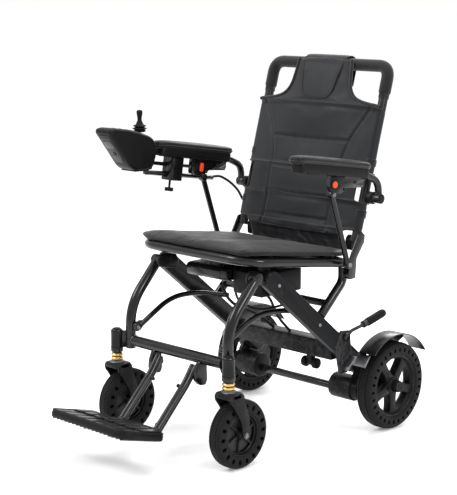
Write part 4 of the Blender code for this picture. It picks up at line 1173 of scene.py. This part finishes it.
# ---- controls -----------------------------------------------------------------------------
def pod():
    """Control pod: rounded shell, grey front panel, buttons, ribs below and the boot's seat."""
    x0, x1 = -0.2945, -0.2295
    outline = mm((-210, 804.5), (-196, 808), (-145, 802), (-107, 793), (-67, 779), (-49, 761),
        (-47, 729), (-61, 692.5), (-90, 690), (-124, 690.5), (-142, 702), (-212, 796))
    shape = smooth_outline(outline, 0.012, 4)
    middle, edge = (-0.125, 0.755), 0.0095
    levels = []
    for share in (0.0, 0.18, 0.42, 0.7, 1.0):
        a = share * math.pi / 2
        levels.append((x0 + edge * (1 - math.cos(a)), edge * (1 - math.sin(a))))
    levels += [(-x + x0 + x1, inset) for x, inset in reversed(levels)]
    rings = []
    for x, inset in levels:
        ring = []
        for y, z in shape:
            away = Vector((y - middle[0], z - middle[1]))
            spot = away.normalized() * max(0.0, away.length - inset * 1.15)
            ring.append((x, middle[0] + spot.x, middle[1] + spot.y))
        rings.append(ring)
    shell = piece("pod_shell", loops(rings), MOULDED, None, ("pod_housing",), angle=42)
    cutter = lathe(bmesh.new(), [(0.7755, 0.024), (0.84, 0.024)], (POD_X, STICK_Y, 0), "Z", 40)
    slab(cutter, oblong(-60, -35, 660, 735), POD_X - 0.015, POD_X + 0.009)
    carve(shell, cutter)
    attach(shell, "pod")
    bm = lathe(bmesh.new(), mm((775.3, 3), (775.3, 23.7), (778.6, 23.7), (779, 23), (776.8, 21.8),
        (776.5, 3)), (POD_X, STICK_Y, 0), "Z", 40, ring=True)
    for k in range(9):
        x = POD_X - 0.026 + k * 0.0065
        rib = mm((-123, 692.5), (-124, 688.8), (-90, 688), (-64.5, 691.2), (-60, 704), (-64, 704),
            (-69, 694.5))
        slab(bm, rib, x - 0.0014, x + 0.0014, bevel=0.0005)
    for k in range(7):
        low = -0.106 + k * 0.0062
        rib = [(low, 0.702 + k * 0.003), (low + 0.0028, 0.702 + k * 0.003),
            (low + 0.0075, 0.748 - k * 0.002), (low + 0.0047, 0.748 - k * 0.002)]
        for a, b in ((x1 - 0.004, x1 + 0.001), (x0 - 0.001, x0 + 0.004)):
            slab(bm, rib, a, b, bevel=0.0005)
    piece("pod_ribs", bm, MOULDED, "pod")
    face = Vector((0, 0.07, -0.094)).normalized()
    out = Vector((0, -face.z, face.y)) * -1
    start = Vector((POD_X, -0.2085, 0.7905))
    turn = Matrix((Vector((1, 0, 0)), face, out)).transposed().to_4x4()
    panel = Matrix.Translation(start) @ turn
    bm = slab(bmesh.new(), smooth_outline(mm((-23.5, 2), (23.5, 2), (23.5, 74), (17, 96), (-17, 96),
        (-23.5, 74)), 0.008), -0.004, 0.0012, "Z", 0.0012)
    piece("pod_panel", bm, SMOOTH, "pod", place=panel)
    bm = slab(bmesh.new(), smooth_outline(oblong(-17.5, 17.5, 12, 46), 0.006), 0.0006, 0.002, "Z",
        0.0006)
    lathe(bm, mm((0.8, 6), (2.6, 5.8), (3.2, 4.5), (2.2, 3), (2.2, 0.5)), (0, 0.066, 0), "Z", 28)
    for k in range(5):
        key = rectangle(-0.014 + k * 0.0064, -0.01 + k * 0.0064, 0.018, 0.024)
        slab(bm, smooth_outline(key, 0.0015, 3), 0.0012, 0.003, "Z", 0.0004)
    piece("pod_keypad", bm, GLOSSY, "pod", place=panel)


def joystick():
    """Waisted stick with a domed head above a three-fold rubber boot."""
    profile = mm((7, 12), (8.4, 16.2), (9.4, 17.6), (10.4, 17.4), (11.2, 15), (12.6, 14),
        (14.2, 15), (15.2, 18.6), (16.4, 19.4), (17.6, 18.6), (18.4, 14.5), (20, 13.2),
        (21.6, 14.2), (22.6, 17.2), (23.8, 17.8), (25, 16.6), (26.2, 12), (28.5, 10), (32, 8.6),
        (35, 7), (39, 5.8), (44, 5.8), (50, 6.8), (56, 7.8), (61, 8), (63.6, 7.3), (65, 5),
        (65.5, 1))
    bm = lathe(bmesh.new(), profile, (POD_X, STICK_Y, STICK_Z), "Z", 48)
    piece("joystick_skin", bm, RUBBER, "joystick", ("joystick",), angle=50)


def cable():
    """Lead from the rods' rear end to its clip beside the armrest's pivot."""
    route = bend(mm((-268.5, 196, 644.5), (-268.5, 222, 644), (-268, 262, 624), (-265, 293, 596),
        (-260, 305, 570)), 0.03, 6)
    curve = bpy.data.curves.new("joystick_lead", "CURVE")
    curve.dimensions = "3D"
    curve.bevel_depth = 0.0035
    curve.bevel_resolution = 5
    curve.use_fill_caps = True
    line = curve.splines.new("POLY")
    line.points.add(len(route) - 1)
    for point, spot in zip(line.points, route):
        point.co = (*spot, 1)
    curve.materials.append(RUBBER)
    made = linked("joystick_lead", curve)
    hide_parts("joystick_cable")
    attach(made, "backrest")


# ---- assembly -----------------------------------------------------------------------------
studio()
for side_sign, side_tail in SIDES:
    rear_wheel(side_sign, side_tail)
    caster(side_sign, side_tail)
    front_leg(side_sign, side_tail)
    brace(side_sign, side_tail)
    main_beam(side_sign, side_tail)
    arm_pad(side_sign, side_tail)
    armrest_fittings(side_sign, side_tail)
    fender(side_sign, side_tail)
front_cross()
plain_parts()
footrest()
footplate()
back_cover()
headrest()
top_bar()
seat()
pod()
joystick()
cable()
